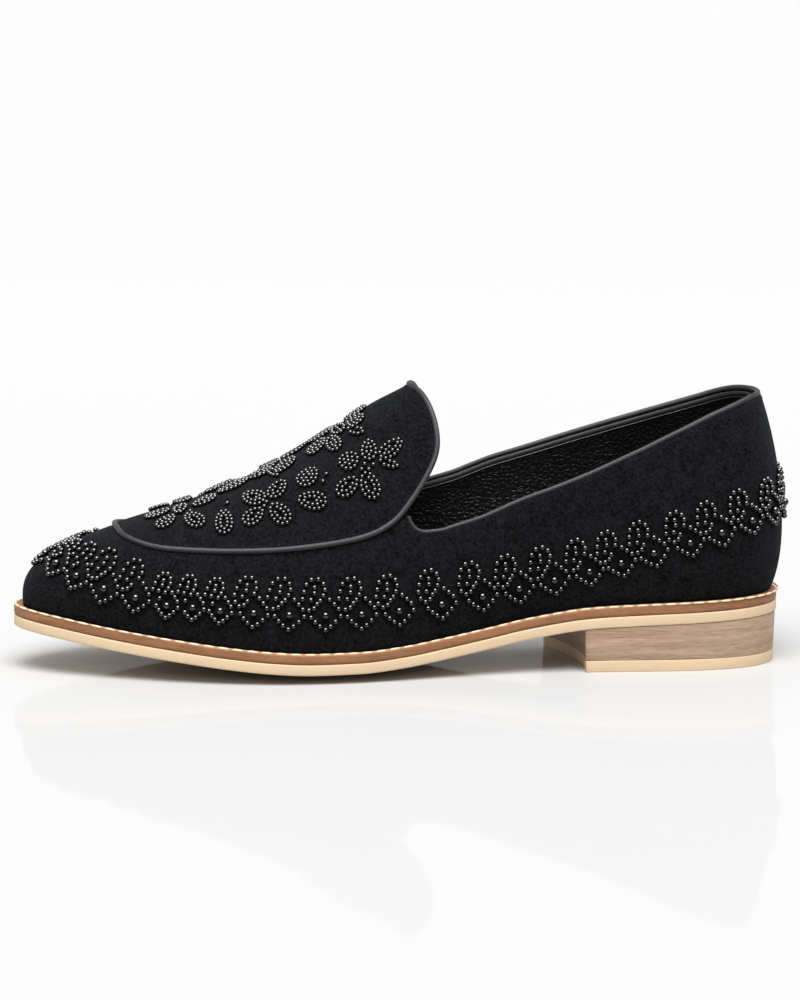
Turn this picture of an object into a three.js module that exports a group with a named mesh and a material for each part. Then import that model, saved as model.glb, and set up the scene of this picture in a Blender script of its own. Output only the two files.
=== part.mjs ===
// A beaded loafer for the left foot, in millimetres. The toe points to -X, the outer side to -Y,
// and the sole stands on z = 0. A station is the distance forward from the back of the sole.
import * as THREE from 'three';

// Driving dimensions
const SOLE_LENGTH = 263;
const OUTSOLE_THICKNESS = 3.7;
const MIDSOLE_THICKNESS = 3.5;
const INSOLE_THICKNESS = 2.5;
const TOP_LIFT_THICKNESS = 4;
const WALL = 2;
const PIPING_WIDTH = 1.9;
const PIPING_HEIGHT = 1.5;
const BEADWORK_THICKNESS = 1;

// Gaps between pieces: flat layers, curved pieces, and beadwork over the upper's own facets
const LAYER_GAP = 0.1;
const GAP = 0.3;
const BEADWORK_LIFT = 0.8;

// The upper's lower edge sits in from the sole's outline at the back, the front and the sides
const WELT_BACK = 2;
const WELT_FRONT = 3;
const WELT_SIDE = 3.2;
const INSOLE_CLEARANCE = 0.8;

// The heel block's breast, its inset under the sole and its taper down to the floor
const BREAST_STATION = 74.6;
const BREAST_SKEW = 3.2;
const BREAST_HOLLOW = 3.4;
const HEEL_INSET = 0.3;
const HEEL_TAPER = 0.4;
const HEEL_CENTRE_STATION = 34;
const HEEL_HALF_WIDTH = 27.5;

// The collar and the plug's seam meet at this station, on both sides
const THROAT_STATION = 134;

// The beaded band: motifs in the whole loop, and its shape in one motif
const BAND_MOTIFS = 46;
const BAND_HALF_HEIGHT = 9.6;
const BAND_ARCH_DIP = 5.5;
const BAND_POINT_DIP = 7;
const PETAL_COUNT = 5;

// Middle of the finished shoe's box, which is brought to the origin
const BOX_MIDDLE_X = 1.56;
const BOX_MIDDLE_Y = 0.58;

// Sole: half widths are the column times the sine of the station's angle, so both ends are round.
// Edge is the height of the bottom edge, and bow is how far the middle of the sole hangs below it.
const SOLE = table(['station', 'lateral', 'medial', 'edge', 'bow'], [
  [0, 57, 57, 17.4, 0],
  [10, 52.3, 52.3, 17.2, 0],
  [20, 46.8, 46.8, 16.8, 0],
  [35, 40.2, 40.2, 16.3, 0],
  [50, 35, 34.4, 15.8, 0],
  [70, 31, 28.3, 14.8, 0],
  [90, 30.4, 24.2, 12.1, 1.6],
  [105, 31.9, 24.5, 9.3, 2.7],
  [120, 34.5, 27.3, 6.7, 3.4],
  [135, 37.8, 32.2, 4.5, 3.7],
  [150, 41, 37.6, 3.3, 3.55],
  [165, 43.6, 42.6, 3.2, 4],
  [180, 45.2, 46.7, 3.9, 3.8],
  [195, 45.4, 49.1, 5.3, 3],
  [210, 44.6, 50.1, 7.1, 2.4],
  [225, 42.7, 49.8, 9, 1.8],
  [240, 41, 49.6, 11.2, 1.2],
  [250, 40.3, 49, 12.8, 0.7],
  [263, 40, 48, 14.6, 0],
]);

// Last: each spoke is a curve from the lower edge up to the ridge. It leaves the edge with the rise
// and swell, and reaches the ridge, at the ridge station, over the reach and from the drop below.
const LAST = table(['station', 'ridge', 'rise', 'swellLateral', 'swellMedial', 'reach', 'drop'], [
  [2, 31.5, 22, 10, 10, 27, 16],
  [15, 31.5, 24, 10, 10, 25, 14],
  [30, 36, 26, 9.5, 9.5, 22, 10],
  [60, 60, 28, 9, 10, 20, 6],
  [100, 100, 23, 8, 12, 25, 2],
  [128, 128, 28, 4, 8, 26, 0],
  [150, 150, 27, 3.5, 5, 27, 0],
  [175, 175, 25, 3, 3, 27, 0],
  [200, 199, 23, 3, 3, 25, 0],
  [220, 210, 20, 3, 3, 25, 0],
  [240, 215, 17, 2.5, 2.5, 30, 0],
  [260, 215, 16, 2, 2, 34, 0],
]);

// Ridge of the last: instep and toe, carried on over the open heel. Shift is towards the inner side.
const RIDGE_FRONT = 215;
const RIDGE = table(['station', 'height', 'shift'], [
  [31, 127, 0],
  [60, 125, 0],
  [100, 110.5, 1],
  [121, 98.9, 2],
  [128, 94.9, 2.5],
  [138, 89.7, 3],
  [151.4, 81, 3],
  [158.2, 76.4, 3],
  [165, 72.1, 3],
  [172, 68.3, 3],
  [186, 62, 3],
  [200, 56.3, 2.5],
  [RIDGE_FRONT, 51.6, 2],
]);

// Heights of the collar's edge, by the station of the spoke's foot
const COLLAR = table(['station', 'lateral', 'medial'], [
  [2, 92, 92],
  [7.3, 91.7, 91.4],
  [15.7, 90, 89.4],
  [23.6, 87.6, 87],
  [38.6, 81.4, 82.8],
  [53, 74.8, 78.8],
  [67, 68.8, 74.8],
  [81, 63.5, 70.5],
  [95, 58.8, 66.5],
  [108.7, 53.4, 61.4],
  [116, 51.3, 59.2],
  [122.5, 49.6, 57.4],
  [127.5, 49.3, 56.5],
  [130.5, 50.4, 56.8],
  [132.3, 52.6, 58],
  [133.3, 54.8, 59.6],
  [THROAT_STATION, 57.3, 61.4],
]);

// Heights of the plug's seam, by the station of the spoke's foot
const SEAM = table(['station', 'lateral', 'medial'], [
  [THROAT_STATION, 57.3, 61.4],
  [137, 54.2, 58],
  [140, 52.1, 55.8],
  [144, 50, 53.6],
  [150, 48.1, 51.4],
  [157, 46.7, 49.8],
  [170, 44.9, 47.4],
  [184, 43.8, 45.8],
  [197, 43.4, 45],
  [215, 43.6, 44.6],
  [225, 44.5, 45.2],
  [230, 45.3, 45.8],
  [235, 46, 46.3],
  [240, 46.5, 46.7],
  [245, 46.9, 47],
  [250, 47.2, 47.2],
  [260, 47.5, 47.5],
]);

// Back edge of the tongue, from the throat (0) up to its top on the ridge (1)
const TONGUE = table(['up', 'station'], [
  [0, THROAT_STATION],
  [0.04, 131.8],
  [0.1, 128.4],
  [0.16, 125.7],
  [0.23, 123.2],
  [0.32, 121.9],
  [0.42, 122.1],
  [0.55, 123.1],
  [0.7, 124.7],
  [0.85, 126.6],
  [0.95, 127.8],
  [1, 128.2],
]);

// Middle of the beaded band, as a distance up the upper from its lower edge
const BAND = table(['station', 'up'], [
  [2, 33.6],
  [7.3, 33],
  [14.7, 31.2],
  [24.3, 28],
  [34.7, 25],
  [46.8, 21.9],
  [57.9, 19],
  [69.4, 16.7],
  [81.5, 15.5],
  [94, 15.2],
  [107, 15.5],
  [121.4, 15.7],
  [136.5, 16.2],
  [150, 16.5],
  [175, 16.6],
  [197, 16.4],
  [206, 16.2],
  [214.6, 15.5],
  [225, 15.7],
  [235.7, 16.6],
  [245.6, 18.9],
  [254.2, 21.3],
  [260, 23],
]);

// Beaded flowers and leaves on the plug: the side, the station of the spoke's foot, the share of the
// way from the lower edge to the ridge, the radii, and the turn in degrees
const FLOWERS = [
  { name: 'flower_toe', side: -1, station: 208, share: 0.97, radius: 9.5, turn: 10 },
  { name: 'flower_vamp', side: -1, station: 178, share: 0.71, radius: 9.5, turn: 40 },
  { name: 'flower_ridge', side: 1, station: 174, share: 0.93, radius: 9, turn: 0 },
  { name: 'flower_instep', side: -1, station: 147, share: 0.66, radius: 11, turn: 20 },
  { name: 'flower_top', side: 1, station: 152, share: 0.98, radius: 10.5, turn: 50 },
  { name: 'flower_far_vamp', side: 1, station: 190, share: 0.7, radius: 9, turn: 30 },
  { name: 'flower_far_instep', side: 1, station: 150, share: 0.64, radius: 10.5, turn: 60 },
];
const LEAVES = [
  { name: 'leaf_low', side: -1, station: 193.3, share: 0.68, long: 4.4, wide: 3, turn: 70 },
  { name: 'leaf_ridge', side: -1, station: 187, share: 0.97, long: 5, wide: 3, turn: 20 },
  { name: 'leaf_middle', side: -1, station: 164.4, share: 0.76, long: 4.4, wide: 3.4, turn: 30 },
  { name: 'leaf_side', side: -1, station: 164.2, share: 0.63, long: 5, wide: 3.4, turn: 0 },
  { name: 'leaf_far_low', side: 1, station: 172, share: 0.66, long: 5, wide: 3.4, turn: 20 },
  { name: 'leaf_far_middle', side: 1, station: 163, share: 0.74, long: 4.4, wide: 3.2, turn: 60 },
];

const MATERIALS = {
  suede: material(0x17181b, 0.95),
  piping: material(0x2c2d31, 0.45),
  beads: material(0x0d0d10, 0.2),
  lining: material(0x141416, 0.6),
  midsole: material(0xb0805c, 0.6),
  outsole: material(0xecd2a6, 0.55),
  heel: material(0xa58c76, 0.65),
};

// A curve for each named column, by the place in the first column
function table(columns, rows) {
  const places = rows.map((row) => row[0]);
  const curves = {};
  columns.slice(1).forEach((name, index) => {
    curves[name] = smoothCurve(places, rows.map((row) => row[index + 1]));
  });
  return curves;
}

// A smooth curve through the values, which never runs past them between two rows
function smoothCurve(places, values) {
  const steps = places.slice(1).map((place, i) => place - places[i]);
  const rises = steps.map((step, i) => (values[i + 1] - values[i]) / step);
  const slopes = places.map((_, i) => {
    if (i === 0) return rises[0];
    if (i === rises.length) return rises[i - 1];
    if (rises[i - 1] * rises[i] <= 0) return 0;
    const before = 2 * steps[i] + steps[i - 1];
    const after = steps[i] + 2 * steps[i - 1];
    return (before + after) / (before / rises[i - 1] + after / rises[i]);
  });
  return (place) => {
    if (place <= places[0]) return values[0];
    if (place >= places[places.length - 1]) return values[values.length - 1];
    let i = 0;
    while (place > places[i + 1]) i += 1;
    const t = (place - places[i]) / steps[i];
    const blend = t * t * (3 - 2 * t);
    const bend = slopes[i] * t * (1 - t) ** 2 - slopes[i + 1] * t * t * (1 - t);
    return values[i] * (1 - blend) + values[i + 1] * blend + steps[i] * bend;
  };
}

function material(color, roughness) {
  return new THREE.MeshStandardMaterial({ color, roughness, metalness: 0 });
}

function mix(a, b, t) {
  return a + (b - a) * t;
}

function columnFor(side) {
  return side < 0 ? 'lateral' : 'medial';
}

// Sole outline and layers

function soleHalfWidth(side, station) {
  const along = 1 - 2 * station / SOLE_LENGTH;
  return SOLE[columnFor(side)](station) * Math.sqrt(Math.max(0, 1 - along * along));
}

// Height of a layer that lies a given lift above the sole's underside
const BOW_POWER = 2.2;
function layerHeight(station, y, lift) {
  const half = soleHalfWidth(Math.sign(y), station);
  const across = half > 1e-6 ? Math.min(1, Math.abs(y) / half) : 0;
  return SOLE.edge(station) + lift - SOLE.bow(station) * (1 - across ** BOW_POWER);
}

// A slab from rows across the foot: place(along, across, level) gives a station, y and height, with
// along from 0 at the back to 1, across from -1 to 1, and level 0 underneath and 1 on top
const ACROSS = [-1, -0.72, -0.38, 0, 0.38, 0.72, 1];
function slab(steps, place) {
  const body = new Body();
  const last = ACROSS.length - 1;
  const corner = (i, j, level) => {
    const [station, y, height] = place(i / steps, ACROSS[j], level);
    return body.point(SOLE_LENGTH / 2 - station, y, height);
  };
  const wall = (i, j, nextI, nextJ) => {
    body.quad(corner(i, j, 0), corner(nextI, nextJ, 0), corner(nextI, nextJ, 1), corner(i, j, 1));
  };
  for (let i = 0; i < steps; i += 1) {
    for (let j = 0; j < last; j += 1) {
      body.quad(corner(i, j, 1), corner(i + 1, j, 1), corner(i + 1, j + 1, 1), corner(i, j + 1, 1));
      body.quad(corner(i, j, 0), corner(i, j + 1, 0), corner(i + 1, j + 1, 0), corner(i + 1, j, 0));
    }
    wall(i, 0, i + 1, 0);
    wall(i + 1, last, i, last);
  }
  for (let j = 0; j < last; j += 1) wall(steps, j, steps, j + 1);
  return body.geometry();
}

const SOLE_STEPS = 32;

function soleLayer(bottom, top) {
  return slab(SOLE_STEPS, (along, across, level) => {
    const station = SOLE_LENGTH / 2 * (1 - Math.cos(Math.PI * along));
    const y = across * soleHalfWidth(across, station);
    return [station, y, Math.max(0, layerHeight(station, y, level ? top : bottom))];
  });
}

function outsole() {
  return soleLayer(0, OUTSOLE_THICKNESS);
}

function midsole() {
  return soleLayer(OUTSOLE_THICKNESS + LAYER_GAP, OUTSOLE_THICKNESS + MIDSOLE_THICKNESS);
}

function insole() {
  const inset = WELT_SIDE + WALL + INSOLE_CLEARANCE;
  const back = WELT_BACK + WALL + INSOLE_CLEARANCE;
  const length = SOLE_LENGTH - back - WELT_FRONT - WALL - INSOLE_CLEARANCE;
  const floor = OUTSOLE_THICKNESS + MIDSOLE_THICKNESS + GAP;
  return slab(SOLE_STEPS, (along, across, level) => {
    const station = back + length / 2 * (1 - Math.cos(Math.PI * along));
    const y = across * (SOLE[columnFor(across)](station) - inset) * Math.sin(Math.PI * along);
    return [station, y, layerHeight(station, y, floor + level * INSOLE_THICKNESS)];
  });
}

// A layer of the heel between two heights, which tapers in from the sole's outline to the floor
const HEEL_STEPS = 12;
function heelLayer(bottom, top) {
  return slab(HEEL_STEPS, (along, across, level) => {
    const breast = BREAST_STATION + BREAST_SKEW * across - BREAST_HOLLOW * (1 - across * across);
    const station = breast * (1 - Math.cos(Math.PI / 2 * along));
    const edge = across * soleHalfWidth(across, station);
    const height = level ? top(station, edge) : bottom;
    const inset = HEEL_INSET + HEEL_TAPER * (1 - height / SOLE.edge(0));
    const scale = 1 - inset / HEEL_HALF_WIDTH;
    return [mix(HEEL_CENTRE_STATION, station, scale), edge * scale, height];
  });
}

function topLift() {
  return heelLayer(0, () => TOP_LIFT_THICKNESS);
}

function heelStack() {
  return heelLayer(TOP_LIFT_THICKNESS + LAYER_GAP, (station, y) => layerHeight(station, y, -GAP));
}

// The upper's surface. A place on it is a turn round the foot, from 0 at the back to pi at the toe,
// negative on the outer side, and a share of the way up the spoke from the lower edge to the ridge.

const FOOT_LENGTH = SOLE_LENGTH - WELT_BACK - WELT_FRONT;

function stationOf(turn) {
  return WELT_BACK + FOOT_LENGTH / 2 * (1 - Math.cos(turn));
}

function turnOf(station) {
  return Math.acos(1 - 2 * (station - WELT_BACK) / FOOT_LENGTH);
}

function footPlan(side, turn) {
  const station = stationOf(turn);
  return [station, side * (SOLE[columnFor(side)](station) - WELT_SIDE) * Math.sin(turn)];
}

// Direction away from the foot in plan, square to the lower edge
function outward(side, turn) {
  if (turn <= 0) return [-1, 0];
  if (turn >= Math.PI) return [1, 0];
  const step = Math.min(0.01, turn, Math.PI - turn);
  const before = footPlan(side, turn - step);
  const after = footPlan(side, turn + step);
  const run = [after[0] - before[0], after[1] - before[1]];
  const size = Math.hypot(...run) * side;
  return [-run[1] / size, run[0] / size];
}

function ridgeSlope(station) {
  const place = Math.min(station, RIDGE_FRONT - 1);
  return (RIDGE.height(place + 1) - RIDGE.height(place - 1)) / 2;
}

// The four control points of a spoke, as station, y and height
function spoke(side, turn) {
  const [station, y] = footPlan(side, turn);
  const height = layerHeight(station, y, OUTSOLE_THICKNESS + MIDSOLE_THICKNESS + GAP);
  const away = outward(side, turn);
  const swell = (side < 0 ? LAST.swellLateral : LAST.swellMedial)(station);
  const ridge = LAST.ridge(station);
  const top = [ridge, RIDGE.shift(ridge), RIDGE.height(ridge)];
  const run = [station - top[0], y - top[1]];
  const reach = LAST.reach(station) / Math.hypot(...run);
  return [
    [station, y, height],
    [station + away[0] * swell, y + away[1] * swell, height + LAST.rise(station)],
    [top[0] + reach * run[0], top[1] + reach * run[1],
      top[2] + ridgeSlope(ridge) * reach * run[0] - LAST.drop(station)],
    top,
  ];
}

function pointOnSpoke(points, share) {
  const rest = 1 - share;
  const weights = [rest ** 3, 3 * share * rest ** 2, 3 * share ** 2 * rest, share ** 3];
  const sum = (axis) => weights.reduce((total, weight, i) => total + weight * points[i][axis], 0);
  return [sum(0), sum(1), sum(2)];
}

// A point of the surface. Past the ridge or the toe it carries on down the other side.
function surface(turn, share) {
  if (share > 1) return surface(-turn, 2 - share);
  if (Math.abs(turn) > Math.PI) return surface(turn - Math.sign(turn) * 2 * Math.PI, share);
  const side = turn < 0 ? -1 : 1;
  const [station, y, height] = pointOnSpoke(spoke(side, Math.abs(turn)), share);
  return new THREE.Vector3(SOLE_LENGTH / 2 - station, y, height);
}

function slopesAt(turn, share) {
  const step = 1e-3;
  const low = Math.max(0, share - step);
  return {
    round: surface(turn + step, share).sub(surface(turn - step, share)).divideScalar(2 * step),
    up: surface(turn, share + step).sub(surface(turn, low)).divideScalar(share + step - low),
  };
}

// Outward normal. The spokes of the toe share one point at the ridge's front end, where the normal
// comes from the ridge's own slope, and along the lower edge it is level.
function normalAt(turn, share) {
  if (share >= 1) {
    const slope = ridgeSlope(LAST.ridge(stationOf(Math.abs(turn))));
    return new THREE.Vector3(slope, 0, 1).normalize();
  }
  const { round, up } = slopesAt(turn, share);
  const normal = round.cross(up);
  if (share <= 0) normal.z = 0;
  return normal.normalize();
}

function shareAtHeight(side, turn, height) {
  const points = spoke(side, turn);
  let low = 0;
  let high = 1;
  for (let i = 0; i < 40; i += 1) {
    const middle = (low + high) / 2;
    if (pointOnSpoke(points, middle)[2] < height) low = middle;
    else high = middle;
  }
  return low;
}

function shareAtDistance(turn, distance) {
  const step = 0.01;
  let share = 0;
  let left = distance;
  while (share < 1) {
    const length = surface(turn, share).distanceTo(surface(turn, share + step));
    if (length >= left) return share + step * left / length;
    left -= length;
    share += step;
  }
  return 1;
}

// Share of the collar's edge, or forward of the throat of the plug's seam
function rimShare(side, turn) {
  const station = stationOf(turn);
  const rim = station < THROAT_STATION ? COLLAR : SEAM;
  return shareAtHeight(side, turn, rim[columnFor(side)](station));
}

// The place a small distance away, along and across two directions that touch the surface
function walk(turn, share, alongDirection, acrossDirection, along, across) {
  const start = surface(turn, share);
  const place = { turn, share };
  for (let i = 0; i < 6; i += 1) {
    const offset = surface(place.turn, place.share).sub(start);
    const errorAlong = along - offset.dot(alongDirection);
    const errorAcross = across - offset.dot(acrossDirection);
    const { round, up } = slopesAt(place.turn, place.share);
    const a = round.dot(alongDirection);
    const b = up.dot(alongDirection);
    const c = round.dot(acrossDirection);
    const d = up.dot(acrossDirection);
    const size = a * d - b * c;
    place.turn += (d * errorAlong - b * errorAcross) / size;
    place.share += (a * errorAcross - c * errorAlong) / size;
  }
  return place;
}

// Bodies and sheets

class Body {
  constructor() {
    this.points = [];
    this.faces = [];
    this.known = new Map();
  }

  point(x, y, z) {
    const key = [x, y, z].map((value) => Math.round(value * 1e4)).join();
    if (!this.known.has(key)) {
      this.known.set(key, this.points.length);
      this.points.push([x, y, z]);
    }
    return this.known.get(key);
  }

  face(a, b, c) {
    if (a !== b && b !== c && c !== a) this.faces.push([a, b, c]);
  }

  quad(a, b, c, d) {
    this.face(a, b, c);
    this.face(a, c, d);
  }

  volume() {
    const corner = (index) => new THREE.Vector3(...this.points[index]);
    return this.faces.reduce((sum, [a, b, c]) => sum + corner(a).dot(corner(b).cross(corner(c))), 0);
  }

  geometry() {
    const flipped = this.volume() < 0;
    const faces = this.faces.map(([a, b, c]) => (flipped ? [a, c, b] : [a, b, c]));
    const geometry = new THREE.BufferGeometry();
    geometry.setAttribute('position', new THREE.Float32BufferAttribute(this.points.flat(), 3));
    geometry.setIndex(faces.flat());
    geometry.computeVertexNormals();
    return geometry;
  }
}

// A sheet of places on the upper's surface, which is given a thickness to make a closed body
class Sheet {
  constructor() {
    this.flat = new Body();
    this.normals = [];
  }

  node(turn, share) {
    const spot = surface(turn, share);
    const index = this.flat.point(spot.x, spot.y, spot.z);
    if (index === this.normals.length) this.normals.push(normalAt(turn, share));
    return index;
  }

  grid(columns, rows, place) {
    for (let i = 0; i < columns; i += 1) {
      for (let j = 0; j < rows; j += 1) {
        const corner = (di, dj) => this.node(...place(i + di, j + dj));
        this.flat.quad(corner(0, 0), corner(1, 0), corner(1, 1), corner(0, 1));
      }
    }
  }

  // Closed body between two distances from the surface, along its normals
  thicken(inner, outer) {
    const body = new Body();
    const shifted = (distance) => this.flat.points.map((spot, i) => {
      const moved = new THREE.Vector3(...spot).addScaledVector(this.normals[i], distance);
      return body.point(moved.x, moved.y, moved.z);
    });
    const outside = shifted(outer);
    const inside = shifted(inner);
    const borders = new Map();
    for (const [a, b, c] of this.flat.faces) {
      body.face(outside[a], outside[b], outside[c]);
      body.face(inside[a], inside[c], inside[b]);
      for (const [from, to] of [[a, b], [b, c], [c, a]]) {
        if (!borders.delete(`${to} ${from}`)) borders.set(`${from} ${to}`, [from, to]);
      }
    }
    for (const [from, to] of borders.values()) {
      body.quad(outside[to], outside[from], inside[from], inside[to]);
    }
    return body.geometry();
  }
}

// Upper: quarters and vamp up to the collar and the seam, the plug, and the tongue behind the throat

const THROAT_TURN = turnOf(THROAT_STATION);
const QUARTER_STEPS = 15;
const THROAT_STATIONS = [121, 124.5, 127.5, 130.5, 132.3, 133.3];
const VAMP_STEPS = 20;
const WALL_ROWS = 7;
const PLUG_ROWS = 5;
const TONGUE_COLUMNS = 3;

function spread(from, to, steps) {
  return Array.from({ length: steps + 1 }, (_, i) => mix(from, to, i / steps));
}

const COLLAR_TURNS = [
  ...spread(0, turnOf(115), QUARTER_STEPS),
  ...THROAT_STATIONS.map(turnOf),
  THROAT_TURN,
];
const SEAM_TURNS = spread(THROAT_TURN, Math.PI, VAMP_STEPS);

function tonguePlace(side, up, inFront) {
  const foot = rimShare(side, THROAT_TURN);
  const turn = mix(turnOf(TONGUE.station(up)), THROAT_TURN, inFront);
  return [side * turn, mix(foot, 1, up)];
}

function upper() {
  const sheet = new Sheet();
  const wallTurns = [...COLLAR_TURNS, ...SEAM_TURNS.slice(1)];
  for (const side of [-1, 1]) {
    const ordered = (list, i) => (side < 0 ? list[list.length - 1 - i] : list[i]);
    sheet.grid(wallTurns.length - 1, WALL_ROWS, (i, j) => {
      const turn = ordered(wallTurns, i);
      return [side * turn, rimShare(side, turn) * j / WALL_ROWS];
    });
    sheet.grid(VAMP_STEPS, PLUG_ROWS, (i, j) => {
      const turn = ordered(SEAM_TURNS, i);
      return [side * turn, mix(rimShare(side, turn), 1, j / PLUG_ROWS)];
    });
    const tongueSteps = spread(0, 1, TONGUE_COLUMNS);
    sheet.grid(TONGUE_COLUMNS, PLUG_ROWS, (i, j) => (
      tonguePlace(side, j / PLUG_ROWS, ordered(tongueSteps, i))
    ));
  }
  return sheet.thicken(-WALL, 0);
}

// Piping: a cord with a flat base, swept along frames of a point and two square directions

const PIPING_PROFILE = [
  [-0.5, 0], [0.5, 0], [0.5, 0.5], [0.26, 1], [-0.26, 1], [-0.5, 0.5],
].map(([across, up]) => [across * PIPING_WIDTH, up * PIPING_HEIGHT]);

function sweep(frames, closed) {
  const body = new Body();
  const rings = frames.map(({ point, across, up }) => PIPING_PROFILE.map(([a, b]) => {
    const spot = point.clone().addScaledVector(across, a).addScaledVector(up, b);
    return body.point(spot.x, spot.y, spot.z);
  }));
  const sides = PIPING_PROFILE.length;
  const spans = closed ? rings.length : rings.length - 1;
  for (let i = 0; i < spans; i += 1) {
    const next = rings[(i + 1) % rings.length];
    for (let k = 0; k < sides; k += 1) {
      const m = (k + 1) % sides;
      body.quad(rings[i][k], next[k], next[m], rings[i][m]);
    }
  }
  if (!closed) {
    const first = rings[0];
    const final = rings[rings.length - 1];
    for (let k = 1; k < sides - 1; k += 1) {
      body.face(first[0], first[k], first[k + 1]);
      body.face(final[0], final[k + 1], final[k]);
    }
  }
  return body.geometry();
}

// Frames along places on the surface: the normal, and the direction across the path
function framesAlong(places, closed) {
  const points = places.map(([turn, share]) => surface(turn, share));
  const count = points.length;
  return places.map(([turn, share], i) => {
    const before = points[closed ? (i + count - 1) % count : Math.max(0, i - 1)];
    const after = points[closed ? (i + 1) % count : Math.min(count - 1, i + 1)];
    const normal = normalAt(turn, share);
    const across = after.clone().sub(before).normalize().cross(normal).normalize();
    return { point: points[i], normal, across };
  });
}

function collarPiping() {
  const turns = COLLAR_TURNS.filter((turn) => stationOf(turn) < THROAT_STATION - 1.2);
  const places = [
    ...turns.slice(1).reverse().map((turn) => [-turn, rimShare(-1, turn)]),
    ...turns.map((turn) => [turn, rimShare(1, turn)]),
  ];
  const frames = framesAlong(places, false).map(({ point, normal, across }) => {
    const edgeward = across.clone().multiplyScalar(across.z < 0 ? -1 : 1);
    return {
      point: point.clone().addScaledVector(normal, -WALL / 2).addScaledVector(edgeward, GAP),
      across: normal,
      up: edgeward,
    };
  });
  return sweep(frames, false);
}

function plugPiping() {
  const places = [];
  const edgeSteps = 9;
  for (const side of [-1, 1]) {
    const half = [
      ...spread(1, 0, edgeSteps).map((up) => tonguePlace(side, up, 0)),
      ...SEAM_TURNS.slice(1, -1).map((turn) => [side * turn, rimShare(side, turn)]),
    ];
    if (side < 0) places.push(...half, [Math.PI, rimShare(1, Math.PI)]);
    else places.push(...half.slice(1).reverse());
  }
  const frames = framesAlong(places, true).map(({ point, normal, across }) => (
    { point: point.clone().addScaledVector(normal, GAP), across, up: normal }
  ));
  return sweep(frames, true);
}

// Beadwork: the band round the sides, and the flowers and leaves on the plug

const BAND_COLUMNS = 4;
const BAND_ROWS = 3;

// Evenly spaced frames along the band's middle line, all round the foot
function bandFrames(count) {
  const samples = 720;
  const places = spread(-Math.PI, Math.PI, samples).map((turn) => (
    [turn, shareAtDistance(turn, BAND.up(stationOf(turn)))]
  ));
  const lengths = [0];
  for (let i = 1; i <= samples; i += 1) {
    lengths.push(lengths[i - 1] + surface(...places[i]).distanceTo(surface(...places[i - 1])));
  }
  const total = lengths[samples];
  let at = 0;
  const spots = Array.from({ length: count }, (_, i) => {
    const wanted = total * i / count;
    while (lengths[at + 1] < wanted) at += 1;
    const part = (wanted - lengths[at]) / (lengths[at + 1] - lengths[at]);
    return [0, 1].map((axis) => mix(places[at][axis], places[at + 1][axis], part));
  });
  return framesAlong(spots, true).map(({ normal, across }, i) => {
    const up = across.clone().negate();
    return { turn: spots[i][0], share: spots[i][1], up, along: up.clone().cross(normal) };
  });
}

function beadBorder() {
  const count = BAND_MOTIFS * BAND_COLUMNS;
  const frames = bandFrames(count);
  const sheet = new Sheet();
  sheet.grid(count, BAND_ROWS, (i, j) => {
    const { turn, share, along, up } = frames[i % count];
    const valley = (1 - Math.cos(2 * Math.PI * i / BAND_COLUMNS)) / 2;
    const bottom = BAND_POINT_DIP * valley - BAND_HALF_HEIGHT;
    const top = BAND_HALF_HEIGHT - BAND_ARCH_DIP * valley;
    const place = walk(turn, share, along, up, 0, mix(bottom, top, j / BAND_ROWS));
    return [place.turn, place.share];
  });
  return sheet.thicken(BEADWORK_LIFT, BEADWORK_LIFT + BEADWORK_THICKNESS);
}

// A plate whose outline is a radius for each angle, bent over the upper
function plate(motif, steps, radiusAt) {
  const { share } = motif;
  const turn = motif.side * turnOf(motif.station);
  const normal = normalAt(turn, Math.min(share, 0.99));
  const along = new THREE.Vector3(1, 0, 0).projectOnPlane(normal).normalize();
  const across = normal.clone().cross(along);
  const sheet = new Sheet();
  const start = THREE.MathUtils.degToRad(motif.turn);
  sheet.grid(steps, 1, (i, j) => {
    const angle = 2 * Math.PI * (i % steps) / steps;
    const radius = radiusAt(angle) * j;
    const place = walk(turn, share, along, across,
      radius * Math.cos(angle + start), radius * Math.sin(angle + start));
    return [place.turn, place.share];
  });
  return sheet.thicken(BEADWORK_LIFT, BEADWORK_LIFT + BEADWORK_THICKNESS);
}

const FLOWER_STEPS = 4 * PETAL_COUNT;
const PETAL_VALLEY = 0.56;
const PETAL_ROUNDNESS = 0.6;
function flower(motif) {
  return plate(motif, FLOWER_STEPS, (angle) => {
    const lobe = Math.abs(Math.cos(PETAL_COUNT / 2 * angle)) ** PETAL_ROUNDNESS;
    return motif.radius * mix(PETAL_VALLEY, 1, lobe);
  });
}

const LEAF_STEPS = 8;
function leaf(motif) {
  return plate(motif, LEAF_STEPS, (angle) => (
    1 / Math.hypot(Math.cos(angle) / motif.long, Math.sin(angle) / motif.wide)
  ));
}

// The finished shoe

const loafer = new THREE.Group();

function add(name, geometry, finish) {
  const mesh = new THREE.Mesh(geometry, finish);
  mesh.name = name;
  loafer.add(mesh);
}

add('outsole', outsole(), MATERIALS.outsole);
add('midsole', midsole(), MATERIALS.midsole);
add('top_lift', topLift(), MATERIALS.outsole);
add('heel_stack', heelStack(), MATERIALS.heel);
add('insole', insole(), MATERIALS.lining);
add('upper', upper(), MATERIALS.suede);
add('collar_piping', collarPiping(), MATERIALS.piping);
add('plug_piping', plugPiping(), MATERIALS.piping);
add('bead_border', beadBorder(), MATERIALS.beads);
FLOWERS.forEach((motif) => add(motif.name, flower(motif), MATERIALS.beads));
LEAVES.forEach((motif) => add(motif.name, leaf(motif), MATERIALS.beads));
loafer.position.set(-BOX_MIDDLE_X, -BOX_MIDDLE_Y, 0);

export default loafer;
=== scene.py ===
"""Beaded loafer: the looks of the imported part, built piece by piece in the part's own frame."""

import math

import bpy
import numpy as np
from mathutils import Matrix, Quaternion, Vector


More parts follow.
